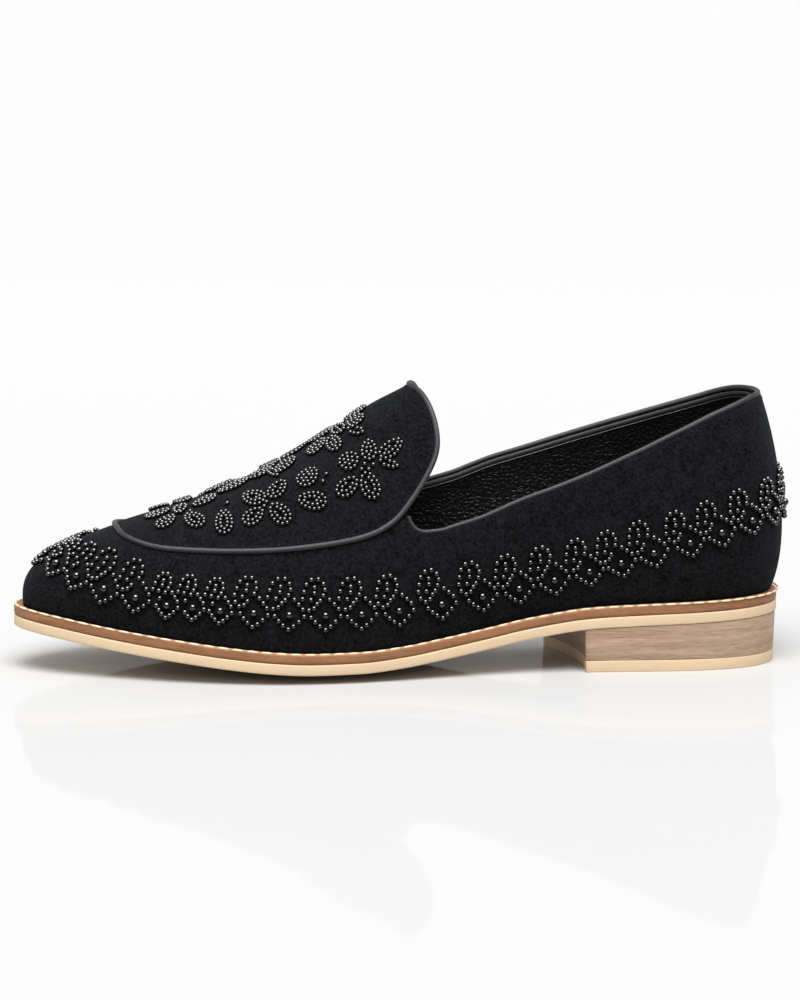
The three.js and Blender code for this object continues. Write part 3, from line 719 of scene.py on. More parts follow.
class Finishes:
    """Materials by their plain names, and the groups they share, each made once."""

    def __init__(self):
        self.made = {}

    def once(self, name, make):
        if name not in self.made:
            self.made[name] = make()
        return self.made[name]

    def get(self, name):
        return self.once(name, lambda: getattr(self, name)(bpy.context.scene.loafer_colours))

    def mottled(self, tree, shader, place, colour, mottle):
        """Gives the shader a mottled colour, and returns the node that makes it."""
        cloud_scale, cloud_amount, speckle_scale, speckle_amount = mottle
        node = group_node(tree, self.once("mottle group", mottle_group), Vector=place,
                          Colour=rgba(colour), Cloud_Scale=cloud_scale, Cloud_Amount=cloud_amount,
                          Speckle_Scale=speckle_scale, Speckle_Amount=speckle_amount)
        tree.links.new(node.outputs["Colour"], shader.inputs["Base Color"])
        return node

    def leather(self, name, colour, mottle, roughness, specular, scale, unevenness, depth):
        """A leather with a grain of pebbles at a scale, and its depth in metres."""
        material, tree, shader, place = new_material(name)
        self.mottled(tree, shader, place, colour, mottle)
        fill_in(tree, shader, {"Roughness": roughness, "Specular IOR Level": specular})
        grain = group_node(tree, self.once("grain group", leather_group), Vector=place, Scale=scale,
                           Unevenness=unevenness)
        bump(tree, shader, grain.outputs["Height"], depth)
        return material

    def sole_edge(self, name, colour, mottle, stretch, specular, depth):
        """An edge of sole leather, with fibres stretched along the sole."""
        material, tree, shader, place = new_material(name)
        node = self.mottled(tree, shader, stretched(tree, place, stretch), colour, mottle)
        fill_in(tree, shader, {"Roughness": 0.5, "Specular IOR Level": specular})
        bump(tree, shader, node.outputs["Value"], depth)
        return material

    def thread(self, name, colour):
        """A thread with fine strands."""
        material, tree, shader, place = new_material(name)
        self.mottled(tree, shader, place, colour, THREAD_MOTTLE)
        fill_in(tree, shader, {"Roughness": 0.8, "Specular IOR Level": 0.1})
        strands = put(tree, "ShaderNodeTexNoise", Vector=stretched(tree, place, (1, 1, 3)),
                      Scale=3500.0, Detail=2.0)
        bump(tree, shader, strands.outputs["Fac"], 0.00008)
        return material

    def suede(self, colours):
        material, tree, shader, place = new_material("suede")
        self.mottled(tree, shader, place, colours.suede, SUEDE_MOTTLE)
        fill_in(tree, shader, {
            "Roughness": 0.95, "Specular IOR Level": 0.03,
            "Sheen Weight": 0.03, "Sheen Roughness": 0.5, "Sheen Tint": (0.7, 0.75, 0.85, 1),
        })
        nap = put(tree, "ShaderNodeTexNoise", Vector=place, Scale=2600.0, Detail=3.0)
        bump(tree, shader, nap.outputs["Fac"], 0.00025)
        return material

    def smooth_leather(self, colours):
        return self.leather("smooth_leather", colours.piping, PIPING_MOTTLE, roughness=0.5,
                            specular=0.22, scale=3200.0, unevenness=0.4, depth=0.00002)

    def lining_leather(self, colours):
        return self.leather("lining_leather", colours.lining, LINING_MOTTLE, roughness=0.5,
                            specular=0.2, scale=1500.0, unevenness=0.5, depth=0.00005)

    def pebbled_leather(self, colours):
        return self.leather("pebbled_leather", colours.lining, LINING_MOTTLE, roughness=0.42,
                            specular=0.2, scale=620.0, unevenness=0.8, depth=0.00016)

    # The binding's edge is given a colour lighter than the piping: a painted highlight along the edge.
    def painted_highlight_edge(self, colours):
        material, tree, shader, place = new_material("painted_highlight_edge")
        self.mottled(tree, shader, place, colours.edge, PIPING_MOTTLE)
        fill_in(tree, shader, {"Roughness": 0.4})
        return material

    def bead_glass(self, colours):
        material, tree, shader, place = new_material("bead_glass")
        self.mottled(tree, shader, place, colours.beads, BEAD_MOTTLE)
        fill_in(tree, shader, {"Roughness": 0.06, "IOR": 1.7})
        return material

    def pale_thread(self, colours):
        return self.thread("pale_thread", colours.pale_thread)

    def tan_thread(self, colours):
        return self.thread("tan_thread", colours.tan_thread)

    def dark_thread(self, colours):
        return self.thread("dark_thread", colours.dark_thread)

    def brown_edge(self, colours):
        return self.sole_edge("brown_edge", colours.midsole, MIDSOLE_MOTTLE,
                              stretch=(0.25, 0.25, 1.6), specular=0.25, depth=0.00006)

    def pale_edge(self, colours):
        return self.sole_edge("pale_edge", colours.outsole, OUTSOLE_MOTTLE,
                              stretch=(0.3, 0.3, 1.2), specular=0.2, depth=0.00005)

    def heel_wood(self, colours):
        material, tree, shader, place = new_material("heel_wood")
        layers = put(tree, "ShaderNodeTexNoise", Vector=stretched(tree, place, (0.04, 0.04, 1.0)),
                     Scale=620.0, Detail=4.0, Roughness=0.65)
        grain = put(tree, "ShaderNodeTexNoise", Vector=stretched(tree, place, (0.12, 0.12, 1.0)),
                    Scale=2200.0, Detail=3.0)
        both = math_node(tree, "ADD", math_node(tree, "MULTIPLY", layers.outputs["Fac"], 0.65),
                         math_node(tree, "MULTIPLY", grain.outputs["Fac"], 0.35))
        ramp = put(tree, "ShaderNodeValToRGB", Fac=both)
        ramp.color_ramp.elements[0].position = 0.36
        ramp.color_ramp.elements[0].color = rgba(colours.heel_dark)
        ramp.color_ramp.elements[1].position = 0.64
        ramp.color_ramp.elements[1].color = rgba(colours.heel_light)
        fill_in(tree, shader, {"Base Color": ramp.outputs["Color"], "Roughness": 0.55})
        bump(tree, shader, both, 0.00012)
        return material


FINISHES = Finishes()


# Geometry node trees


def geometry_tree(name, inputs):
    tree = bpy.data.node_groups.new(name, "GeometryNodeTree")
    tree.interface.new_socket("Geometry", in_out="INPUT", socket_type="NodeSocketGeometry")
    for label, kind, default in inputs:
        socket = tree.interface.new_socket(label, in_out="INPUT", socket_type=kind)
        if default is not None:
            socket.default_value = default
    tree.interface.new_socket("Geometry", in_out="OUTPUT", socket_type="NodeSocketGeometry")
    return tree, tree.nodes.new("NodeGroupInput"), tree.nodes.new("NodeGroupOutput")


def named(tree, name, kind):
    node = tree.nodes.new("GeometryNodeInputNamedAttribute")
    node.data_type = kind
    node.inputs["Name"].default_value = name
    return node.outputs["Attribute"]


def finish_tree(tree, given, result, geometry):
    """Ends a tree: instances made real, shaded smooth and given the material."""
    real = put(tree, "GeometryNodeRealizeInstances", Geometry=geometry)
    smooth = put(tree, "GeometryNodeSetShadeSmooth", Geometry=real.outputs["Geometry"])
    painted = put(tree, "GeometryNodeSetMaterial", Geometry=smooth.outputs["Geometry"],
                  Material=given.outputs["Material"])
    tree.links.new(painted.outputs["Geometry"], result.inputs["Geometry"])


def bead_tree():
    """A round bead on each point, with the point's own radius."""
    tree, given, result = geometry_tree("Beads", [
        ("Faceting", "NodeSocketInt", 2), ("Uneven", FLOAT, 0.04), ("Seed", "NodeSocketInt", 7),
        ("Material", "NodeSocketMaterial", None),
    ])
    ball = put(tree, "GeometryNodeMeshIcoSphere", Radius=1.0, Subdivisions=given.outputs["Faceting"])
    change = tree.nodes.new("FunctionNodeRandomValue")
    change.data_type = "FLOAT"
    floats = [socket for socket in change.inputs if socket.type == "VALUE"]
    tree.links.new(math_node(tree, "SUBTRACT", 1.0, given.outputs["Uneven"]), floats[0])
    tree.links.new(math_node(tree, "ADD", 1.0, given.outputs["Uneven"]), floats[1])
    tree.links.new(given.outputs["Seed"], change.inputs["Seed"])
    value = [socket for socket in change.outputs if socket.type == "VALUE"][0]
    radius = math_node(tree, "MULTIPLY", named(tree, "radius", "FLOAT"), value)
    beads = put(tree, "GeometryNodeInstanceOnPoints", Points=given.outputs["Geometry"],
                Instance=ball.outputs["Mesh"])
    tree.links.new(radius, beads.inputs["Scale"])
    finish_tree(tree, given, result, beads.outputs["Instances"])
    return tree


def stitch_tree():
    """A stitch on each point, turned along the seam and standing on the surface."""
    tree, given, result = geometry_tree("Stitches", [
        ("Length", FLOAT, 0.003), ("Width", FLOAT, 0.0006), ("Height", FLOAT, 0.0004),
        ("Material", "NodeSocketMaterial", None),
    ])
    ball = put(tree, "GeometryNodeMeshIcoSphere", Radius=0.5, Subdivisions=2)
    turn = tree.nodes.new("FunctionNodeAxesToRotation")
    turn.primary_axis = "X"
    turn.secondary_axis = "Z"
    tree.links.new(named(tree, "along", "FLOAT_VECTOR"), turn.inputs[0])
    tree.links.new(named(tree, "up", "FLOAT_VECTOR"), turn.inputs[1])
    size = put(tree, "ShaderNodeCombineXYZ", X=given.outputs["Length"], Y=given.outputs["Width"],
               Z=given.outputs["Height"])
    stitches = put(tree, "GeometryNodeInstanceOnPoints", Points=given.outputs["Geometry"],
                   Instance=ball.outputs["Mesh"])
    tree.links.new(turn.outputs["Rotation"], stitches.inputs["Rotation"])
    tree.links.new(size.outputs["Vector"], stitches.inputs["Scale"])
    finish_tree(tree, given, result, stitches.outputs["Instances"])
    return tree


def cord_tree():
    """A round cord along a line of edges."""
    tree, given, result = geometry_tree("Cord", [
        ("Sides", "NodeSocketInt", 14), ("Material", "NodeSocketMaterial", None),
    ])
    line = put(tree, "GeometryNodeMeshToCurve", Mesh=given.outputs["Geometry"])
    ring = put(tree, "GeometryNodeCurvePrimitiveCircle", Resolution=given.outputs["Sides"], Radius=1.0)
    cord = put(tree, "GeometryNodeCurveToMesh", Curve=line.outputs["Curve"],
               Profile_Curve=ring.outputs["Curve"], Scale=named(tree, "girth", "FLOAT"),
               Fill_Caps=True)
    finish_tree(tree, given, result, cord.outputs["Mesh"])
    return tree


def grown(piece, tree, values):
    """Runs a geometry node tree on a piece and keeps the result as its plain mesh."""
    modifier = piece.modifiers.new(tree.name, "NODES")
    modifier.node_group = tree
    for item in tree.interface.items_tree:
        if item.item_type == "SOCKET" and item.in_out == "INPUT" and item.name in values:
            modifier[item.identifier] = values[item.name]
    graph = bpy.context.evaluated_depsgraph_get()
    mesh = bpy.data.meshes.new_from_object(piece.evaluated_get(graph))
    piece.modifiers.clear()
    piece.data = mesh
    return piece


def points_object(name, points, edges=(), **attributes):
    mesh = bpy.data.meshes.new(name)
    mesh.from_pydata(points.tolist(), list(edges), [])
    for label, values in attributes.items():
        values = np.asarray(values, np.float32)
        kind = "FLOAT_VECTOR" if values.ndim == 2 else "FLOAT"
        layer = mesh.attributes.new(label, kind, "POINT")
        layer.data.foreach_set("vector" if values.ndim == 2 else "value", values.reshape(-1))
    piece = bpy.data.objects.new(name, mesh)
    bpy.context.scene.collection.objects.link(piece)
    return piece


def cord_piece(name, line, radius, closed, finish):
    """A cord along points in millimetres, with one radius or one for each point."""
    count = len(line)
    edges = [(i, i + 1) for i in range(count - 1)] + ([(count - 1, 0)] if closed else [])
    radii = np.broadcast_to(np.asarray(radius, float) * MM, (count,))
    piece = points_object(name, to_row(line), edges, girth=radii)
    return grown(piece, cord_tree(), {"Material": FINISHES.get(finish)})


def settle(piece, slot, *nodes):
    """The piece rides on the shoe and stands for these nodes. The slot is not used."""
    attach(piece, "root")
    if nodes:
        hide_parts(*nodes)


# Sole, heel and footbed

EDGE_ROUNDING = 0.55
LIFT_ROUNDING = 0.3
HEEL_ROUNDING = 0.2
FOOTBED_ROUNDING = 0.8
ROUNDING_STEPS = 4
SOLE_POINTS = 280
FOOTBED_POINTS = 200
HEEL_BACK_POINTS = 141
HEEL_BREAST_POINTS = 41

# How far a slab's rows are pulled in along it, at most in millimetres and as a share of its length,
# and how much closer they lie near its edge
SPINE_PULL = 14.0
SPINE_SHARE = 0.2
ROW_POWER = 1.3


def sole_outline(count):
    """The sole's outline, round the foot once, as stations and sideways places."""
    turn = np.linspace(-math.pi, math.pi, count, endpoint=False)
    station = SOLE_LENGTH / 2 * (1 - np.cos(turn))
    side = np.where(turn < 0, -1.0, 1.0)
    half = columns_for(turn, SOLE, station)
    return np.stack([station, side * half * np.sin(np.abs(turn))], -1)


def inset_outline(outline, distance):
    ahead = np.roll(outline, -1, 0)
    behind = np.roll(outline, 1, 0)
    run = unit(ahead - behind)
    inward = np.stack([run[:, 1], -run[:, 0]], -1)
    middle = outline.mean(0)
    inward *= np.sign(np.sum(inward * (middle - outline)))
    return outline + inward * distance


def spine_of(outline):
    """For each point of an outline, the point of the middle line that its rows run to."""
    low = outline[:, 0].min()
    high = outline[:, 0].max()
    pull = min(SPINE_PULL, (high - low) * SPINE_SHARE)
    station = np.clip(outline[:, 0], low + pull, high - pull)
    return np.stack([station, np.zeros(len(outline))], -1)


def slab(outline, bottom, top, rounding=EDGE_ROUNDING, rows=7):
    """A closed slab inside an outline, with rounded edges. Bottom and top give heights."""
    spine = spine_of(outline)
    rings = []

    def ring(inset, share, level, drop):
        edge = inset_outline(outline, inset)
        plan = edge + (spine - edge) * share
        height = (top if level else bottom)(plan[:, 0], plan[:, 1])
        rings.append(np.column_stack([plan, height + (-drop if level else drop)]))

    shares = [(k / rows) ** ROW_POWER for k in range(rows, 0, -1)]
    angles = [k / ROUNDING_STEPS * math.pi / 2 for k in range(ROUNDING_STEPS + 1)]
    for share in shares:
        ring(rounding, share, 0, 0)
    for angle in angles:
        ring(rounding * (1 - math.sin(angle)), 0, 0, rounding * (1 - math.cos(angle)))
    for angle in reversed(angles):
        ring(rounding * (1 - math.sin(angle)), 0, 1, rounding * (1 - math.cos(angle)))
    for share in reversed(shares):
        ring(rounding, share, 1, 0)
    points = np.concatenate(rings)
    points[:, 0] = SOLE_LENGTH / 2 - points[:, 0]
    count = len(outline)
    faces = []
    for k in range(len(rings) - 1):
        for i in range(count):
            j = (i + 1) % count
            faces.append([k * count + i, k * count + j, (k + 1) * count + j, (k + 1) * count + i])
    return merged(points, faces)


def facing_out(points, faces):
    """Faces turned so that the closed body's volume is positive."""
    corners = [points[face[:3]] for face in faces]
    volume = sum(float(np.dot(a, np.cross(b, c))) for a, b, c in corners)
    return faces if volume > 0 else [list(reversed(face)) for face in faces]


def sole_piece(name, bottom, top, finish, outline=None, rounding=EDGE_ROUNDING, shape=None):
    outline = sole_outline(SOLE_POINTS) if outline is None else outline
    points, faces = slab(outline, bottom, top, rounding)
    if shape is not None:
        points = shape(points)
    return mesh_object(name, to_row(points), facing_out(points, faces), FINISHES.get(finish))


def lifted(lift):
    """Heights of a layer that lies a lift above the sole's underside, and never under the floor."""
    return lambda station, y: np.maximum(0, layer_height(station, y, lift))


def level(height):
    """Heights of a level face."""
    return lambda station, y: 0 * station + height


def heel_outline():
    """The heel's plan: round the back from breast corner to breast corner, and the hollow breast."""
    turn = np.linspace(-1, 1, HEEL_BACK_POINTS)
    side = np.where(turn < 0, -1.0, 1.0)
    breast = BREAST_STATION + BREAST_SKEW * side
    station = breast * (1 - np.cos(math.pi / 2 * np.abs(turn)))
    along = 1 - 2 * station / SOLE_LENGTH
    half = columns_for(turn, SOLE, station) * np.sqrt(1 - along * along)
    back = np.stack([station, side * half], -1)
    across = np.linspace(1, -1, HEEL_BREAST_POINTS)[1:-1]
    hollow = BREAST_STATION + BREAST_SKEW * across - BREAST_HOLLOW * (1 - across ** 2)
    ends = back[-1, 1], back[0, 1]
    front = np.stack([hollow, np.interp(across, [-1, 1], [ends[1], ends[0]])], -1)
    return np.concatenate([back, front])


def heel_taper(points):
    """The heel's sides, which come in towards the floor."""
    inset = HEEL_INSET + HEEL_TAPER * (1 - points[:, 2] / float(SOLE["edge"](0)))
    scale = 1 - inset / HEEL_HALF_WIDTH
    centre = SOLE_LENGTH / 2 - HEEL_CENTRE_STATION
    shaped = points.copy()
    shaped[:, 0] = centre + (points[:, 0] - centre) * scale
    shaped[:, 1] = points[:, 1] * scale
    return shaped


def insole_outline(count):
    inset = WELT_SIDE + WALL + INSOLE_CLEARANCE
    back = WELT_BACK + WALL + INSOLE_CLEARANCE
    length = SOLE_LENGTH - back - WELT_FRONT - WALL - INSOLE_CLEARANCE
    turn = np.linspace(-math.pi, math.pi, count, endpoint=False)
    station = back + length / 2 * (1 - np.cos(turn))
    side = np.where(turn < 0, -1.0, 1.0)
    half = columns_for(turn, SOLE, station) - inset
    return np.stack([station, side * half * np.sin(np.abs(turn))], -1)


def make_sole():
    sizes = bpy.context.scene.loafer_sizes
    outsole = sole_piece("outsole_leather", lifted(0), lifted(OUTSOLE_THICKNESS), "pale_edge")
    settle(outsole, "outsole", "outsole")
    low = OUTSOLE_THICKNESS + LAYER_GAP
    midsole = sole_piece("midsole_leather", lifted(low), lifted(SOLE_TOP), "brown_edge",
                         rounding=sizes.midsole_rounding / MM)
    settle(midsole, "midsole", "midsole")


def make_heel():
    lift = sole_piece("heel_top_lift", level(0.0), level(TOP_LIFT_THICKNESS), "pale_edge",
                      heel_outline(), LIFT_ROUNDING, heel_taper)
    settle(lift, "outsole", "top_lift")
    stack = sole_piece("heel_block", level(TOP_LIFT_THICKNESS + LAYER_GAP),
                       lambda station, y: layer_height(station, y, -LAYER_GAP), "heel_wood",
                       heel_outline(), HEEL_ROUNDING, heel_taper)
    settle(stack, "heel", "heel_stack")


def make_footbed():
    floor = SOLE_TOP + GAP
    footbed = sole_piece("footbed", lifted(floor), lifted(floor + INSOLE_THICKNESS), "lining_leather",
                         insole_outline(FOOTBED_POINTS), FOOTBED_ROUNDING)
    settle(footbed, "lining", "insole")


# Upper, lining and piping

UPPER_THICKNESS = 1.1
PLUG_THICKNESS = 1.2
LINING_THICKNESS = 0.8
LINING_CLEARANCE = 0.05
BINDING_DROP = 2.2
BINDING_EDGE_WIDTH = 0.36

# Heights above the wall's inner face, in millimetres: the binding's two faces and its edge's line
BINDING_INNER = -0.25
BINDING_OUTER = 0.15
BINDING_EDGE_HEIGHT = -0.15

# How far lining and binding stop short of the edge, as a share of the spoke
EDGE_TRIM = 0.001

# Columns and rows of the wall, and columns, tongue columns and rows of the plug
SUEDE_WALL = (330, 40)
SUEDE_PLUG = (150, 22, 56)
LINING_WALL = (220, 26)
LINING_PLUG = (80, 14, 24)

# Points along the collar for its binding and its cord, and round the plug for its outline and cord
BINDING_POINTS = 260
COLLAR_CORD_POINTS = 420
OUTLINE_POINTS = 90
PLUG_CORD_POINTS = 520
PLUG_CORD_EASING = 20


def make_upper():
    quarters = Sheet()
    wall_grid(quarters, *SUEDE_WALL)
    points, faces = quarters.closed(-UPPER_THICKNESS, 0.0)
    piece = mesh_object("quarters_and_vamp", points, faces, FINISHES.get("suede"))
    settle(piece, "suede", "upper")
    plug = Sheet()
    plug_grids(plug, *SUEDE_PLUG)
    points, faces = plug.closed(PLUG_STEP - PLUG_THICKNESS, PLUG_STEP)
    piece = mesh_object("apron_plug_and_tongue", points, faces, FINISHES.get("suede"))
    settle(piece, "suede")


def make_lining():
    lining = Sheet()
    wall_grid(lining, *LINING_WALL, trim=EDGE_TRIM)
    plug_grids(lining, *LINING_PLUG)
    points, faces = lining.closed(-UPPER_THICKNESS - LINING_THICKNESS,
                                  -UPPER_THICKNESS - LINING_CLEARANCE)
    piece = mesh_object("lining", points, faces, FINISHES.get("pebbled_leather"))
    settle(piece, "lining")


def make_binding():
    turns = collar_turns(BINDING_POINTS)
    shares = rim_share(turns)
    low = share_below(turns, shares, BINDING_DROP)
    # A thin cord along the binding's lower edge, in a lighter leather: a painted highlight along the edge.
    line = dressed(turns, low, np.full(len(turns), -WALL + BINDING_EDGE_HEIGHT))
    piece = cord_piece("collar_binding_edge", line, BINDING_EDGE_WIDTH / 2, False, "painted_highlight_edge")
    settle(piece, "piping")
    across = np.stack([low, (low + shares) / 2, shares - EDGE_TRIM], 1)
    band = Sheet()
    band.grid(np.repeat(turns[:, None], across.shape[1], 1), across)
    points, faces = band.closed(-WALL + BINDING_INNER, -WALL + BINDING_OUTER)
    piece = mesh_object("collar_binding", points, faces, FINISHES.get("smooth_leather"))
    settle(piece, "piping")


def collar_turns(count):
    """Turns along the whole collar, evenly spaced, from the outer throat round the back."""
    end = float(turn_of(THROAT_STATION - COLLAR_END))
    half = even_turns(count // 2, rim_share, 0.0, end)
    return np.concatenate([-half[:0:-1], half])


# The collar's piping: how far it ends short of the throat, its width at the back and at the throat
# as a share of the piping's, and how far its line lies out from the wall's middle and under the edge
COLLAR_END = 0.6
PIPING_AT_BACK = 1.04
PIPING_AT_THROAT = 0.78
COLLAR_CORD_OUT = 0.15
COLLAR_CORD_SUNK = 0.2


def collar_line():
    """The collar piping's middle line, which follows the wall's edge, and its radii."""
    sizes = bpy.context.scene.loafer_sizes
    turns = collar_turns(COLLAR_CORD_POINTS)
    shares = rim_share(turns)
    forward = station_of(np.abs(turns)) / THROAT_STATION
    width = PIPING_AT_BACK - (PIPING_AT_BACK - PIPING_AT_THROAT) * forward
    radii = sizes.piping_width / MM / 2 * width
    points = dressed(turns, shares, np.full(len(turns), -WALL / 2 + COLLAR_CORD_OUT))
    tangent = unit(np.roll(points, -1, 0) - np.roll(points, 1, 0))
    tangent[0] = unit(points[1] - points[0])
    tangent[-1] = unit(points[-1] - points[-2])
    edgeward = unit(np.cross(tangent, normal_at(turns, shares)))
    edgeward *= np.where(edgeward[:, 2:3] < 0, -1, 1)
    return points + edgeward * (radii - COLLAR_CORD_SUNK)[:, None], radii


def plug_outline(count):
    """Places round the plug and tongue: the outer half from the tongue's top to the toe, and back."""
    up = np.linspace(1, 0, count)
    places = []
    for side in (-1, 1):
        tongue = tongue_places(side, up, 0.0)
        seam = even_turns(count * 2, lambda t: rim_share(side * t), THROAT_TURN, math.pi)[1:]
        turns = np.concatenate([tongue[0], side * seam])
        shares = np.concatenate([tongue[1], rim_share(side * seam)])
        places.append((turns, shares))
    turns = np.concatenate([places[0][0], places[1][0][-2:0:-1]])
    shares = np.concatenate([places[0][1], places[1][1][-2:0:-1]])
    return turns, shares


def smoothed_loop(points, rounds):
    """A closed line eased by averaging neighbours."""
    for _ in range(rounds):
        points = points * 0.5 + (np.roll(points, 1, 0) + np.roll(points, -1, 0)) * 0.25
    return points


def looped(points, closed):
    """Points of a line, with the first again at the end if it is closed."""
    return np.concatenate([points, points[:1]]) if closed else points


def resampled(points, count):
    """Evenly spaced points on a closed line."""
    line = looped(points, True)
    lengths = lengths_along(line)
    return points_along(line, lengths, np.linspace(0, lengths[-1], count + 1)[:-1])


PLUG_CORD_LIFT = 0.55


def make_piping():
    sizes = bpy.context.scene.loafer_sizes
    radius = sizes.piping_width / MM / 2
    line, radii = collar_line()
    piece = cord_piece("collar_piping_cord", line, radii, False, "smooth_leather")
    settle(piece, "piping", "collar_piping")
    turns, shares = plug_outline(OUTLINE_POINTS)
    line = dressed(turns, shares, np.full(len(turns), PLUG_CORD_LIFT))
    line = smoothed_loop(resampled(line, PLUG_CORD_POINTS), PLUG_CORD_EASING)
    piece = cord_piece("plug_piping_cord", line, radius, True, "smooth_leather")
    settle(piece, "piping", "plug_piping")


# Stitches, in millimetres

WELT_STITCH_OUT = 2.45
WELT_STITCH_LIFT = 0.02
WELT_STITCH_FILL = 1.02
WELT_STITCH_WIDTH = 0.9
WELT_STITCH_HEIGHT = 0.75
WELT_SEAT_WIDTH = 0.6
COLLAR_STITCH_DROP = 1.5
LINING_STITCH_DROP = 1
PLUG_STITCH_INSET = 1.5
STITCH_SEAT = 0.05
LINING_STITCH_SEAT = 0.1
FINE_PITCH = 1.7
FINE_STITCH = (1.25, 0.4, 0.28)

# Points along the welt's and the collar's lines of stitches
WELT_POINTS = 900
COLLAR_STITCH_POINTS = 700

# The plug's stitches run towards a place on its ridge, and stop short of the ridge itself
PLUG_MIDDLE_STATION = 170
PLUG_MOST_SHARE = 0.995


def stitch_row(name, turns, shares, height, closed, slot):
    """Fine dark stitches along places on the upper."""
    points = dressed(turns, shares, np.full(len(turns), height))
    normals = normal_at(turns, shares)
    stitches_on(name, points, normals, FINE_PITCH, closed, "dark_thread", slot, FINE_STITCH)


def stitches_on(name, points, normals, pitch, closed, finish, slot, size):
    """Evenly spaced stitches of a length, width and height along a line."""
    line = looped(points, closed)
    lengths = lengths_along(line)
    count = max(2, int(round(lengths[-1] / pitch)))
    wanted = (np.arange(count) + 0.5) * lengths[-1] / count
    reach = size[0] / 2
    centre = points_along(line, lengths, wanted)
    ahead = points_along(line, lengths, np.minimum(wanted + reach, lengths[-1]))
    behind = points_along(line, lengths, np.maximum(wanted - reach, 0))
    up = points_along(looped(normals, closed), lengths, wanted)
    piece = points_object(name, to_row(centre), along=unit(ahead - behind), up=unit(up))
    values = {"Length": size[0] * MM, "Width": size[1] * MM, "Height": size[2] * MM,
              "Material": FINISHES.get(finish)}
    settle(grown(piece, stitch_tree(), values), slot)


def make_welt_stitches():
    sizes = bpy.context.scene.loafer_sizes
    long = sizes.welt_stitch / MM
    turn = np.linspace(-math.pi, math.pi, WELT_POINTS, endpoint=False)
    station, y = foot_plan(turn)
    away_x, away_y = outward(turn)
    plan = np.stack([station + away_x * WELT_STITCH_OUT, y + away_y * WELT_STITCH_OUT], -1)
    height = layer_height(plan[:, 0], plan[:, 1], SOLE_TOP + WELT_STITCH_LIFT)
    points = np.column_stack([SOLE_LENGTH / 2 - plan[:, 0], plan[:, 1], height])
    normals = np.tile([0.0, 0.0, 1.0], (len(turn), 1))
    seat = cord_piece("welt_stitch_seat", points, WELT_SEAT_WIDTH / 2, True, "tan_thread")
    settle(seat, "midsole")
    stitches_on("welt_stitches", points, normals, long, True, "pale_thread", "outsole",
                (long * WELT_STITCH_FILL, WELT_STITCH_WIDTH, WELT_STITCH_HEIGHT))


def make_fine_stitches():
    turns = collar_turns(COLLAR_STITCH_POINTS)
    shares = rim_share(turns)
    outer = share_below(turns, shares, COLLAR_STITCH_DROP)
    stitch_row("collar_stitches", turns, outer, STITCH_SEAT, False, "suede")
    inner = share_below(turns, shares, BINDING_DROP + LINING_STITCH_DROP)
    stitch_row("lining_stitches", turns, inner, -WALL + LINING_STITCH_SEAT, False, "lining")
    turns, shares = plug_outline(OUTLINE_POINTS)
    loop = inner_loop(turns, shares, PLUG_STITCH_INSET)
    stitch_row("plug_stitches", *loop, PLUG_STEP + STITCH_SEAT, True, "suede")


def inner_loop(turns, shares, distance):
    """The closed loop of places that lies a distance inside another, towards the plug's middle."""
    points = surface(turns, shares)
    normals = normal_at(turns, shares)
    tangent = unit(np.roll(points, -1, 0) - np.roll(points, 1, 0))
    inward = unit(np.cross(normals, tangent))
    middle = surface(np.array([float(turn_of(PLUG_MIDDLE_STATION))]), np.array([1.0]))
    inward *= np.sign(np.sum(dot(inward, middle - points)))
    zero = np.zeros(len(turns))
    limit = np.minimum(shares, PLUG_MOST_SHARE)
    return walk(turns, limit, tangent, inward, zero, zero + distance)


# Beads

# One motif of the border, from the big bead in its diamond: along the band and up
ARCH = [
    (-3.7, 2.31), (-2.62, 3.7), (-1.54, 4.78), (-0.46, 6.47), (0.15, 8.32), (-0.25, 10.17),
    (-1.85, 11.71), (-4.16, 11.55), (-5.91, 10.01), (-6.78, 7.7), (-7.39, 5.39), (-6.93, 3.08),
    (-5.39, 1.69), (-3.23, 9.09), (-3.39, 7.24), (-4.62, 5.08),
]
DIAMOND = [
    (0, -4.78), (-1.85, -3.54), (-3.39, -2.16), (-4.78, -0.62), (1.69, -3.7), (3.39, -2.16),
    (5.08, -0.31), (4.47, 2), (3.08, 3.54), (1.54, 5.08),
]
MOTIF_FOOT = 4.78
MOTIF_PITCH = 12.0
MOTIF_LOWERING = 0.6
MOTIF_LEAST = 0.74
MOTIF_MOST = 1.02
MOTIF_REACH = 2.5
BAND_HALF = 8.2
BAND_POINTS = 1441

# How close two beads may lie, as a share of their radii, and how high a bead stands, in its radius
BEAD_CLEARANCE = 0.8
BEAD_STAND = 0.9
RIDGE_SHARE = 0.985

# Stations of the lowest beads of the border's diamonds on the outer side
NEAR_MOTIFS = [
    254.2, 245.6, 235.7, 225, 214.6, 206.1, 197.3, 186.3, 174.5, 162, 149.7, 136.5, 121.4, 107.1,
    94.1, 81.5, 69.4, 57.9, 46.8, 34.7, 24.3, 14.7, 7.3,
]

# Beads of a petal, in bead widths: the petal's taper, the spacing along a ring and between rings,
# the narrowest ring's half width, and how far past the middle a row of beads still has room
PETAL_TAPER = 0.18
RING_SPACING = 1.02
RING_STEP = 0.95
RING_LEAST = 0.45
ROW_LEAST = 0.06

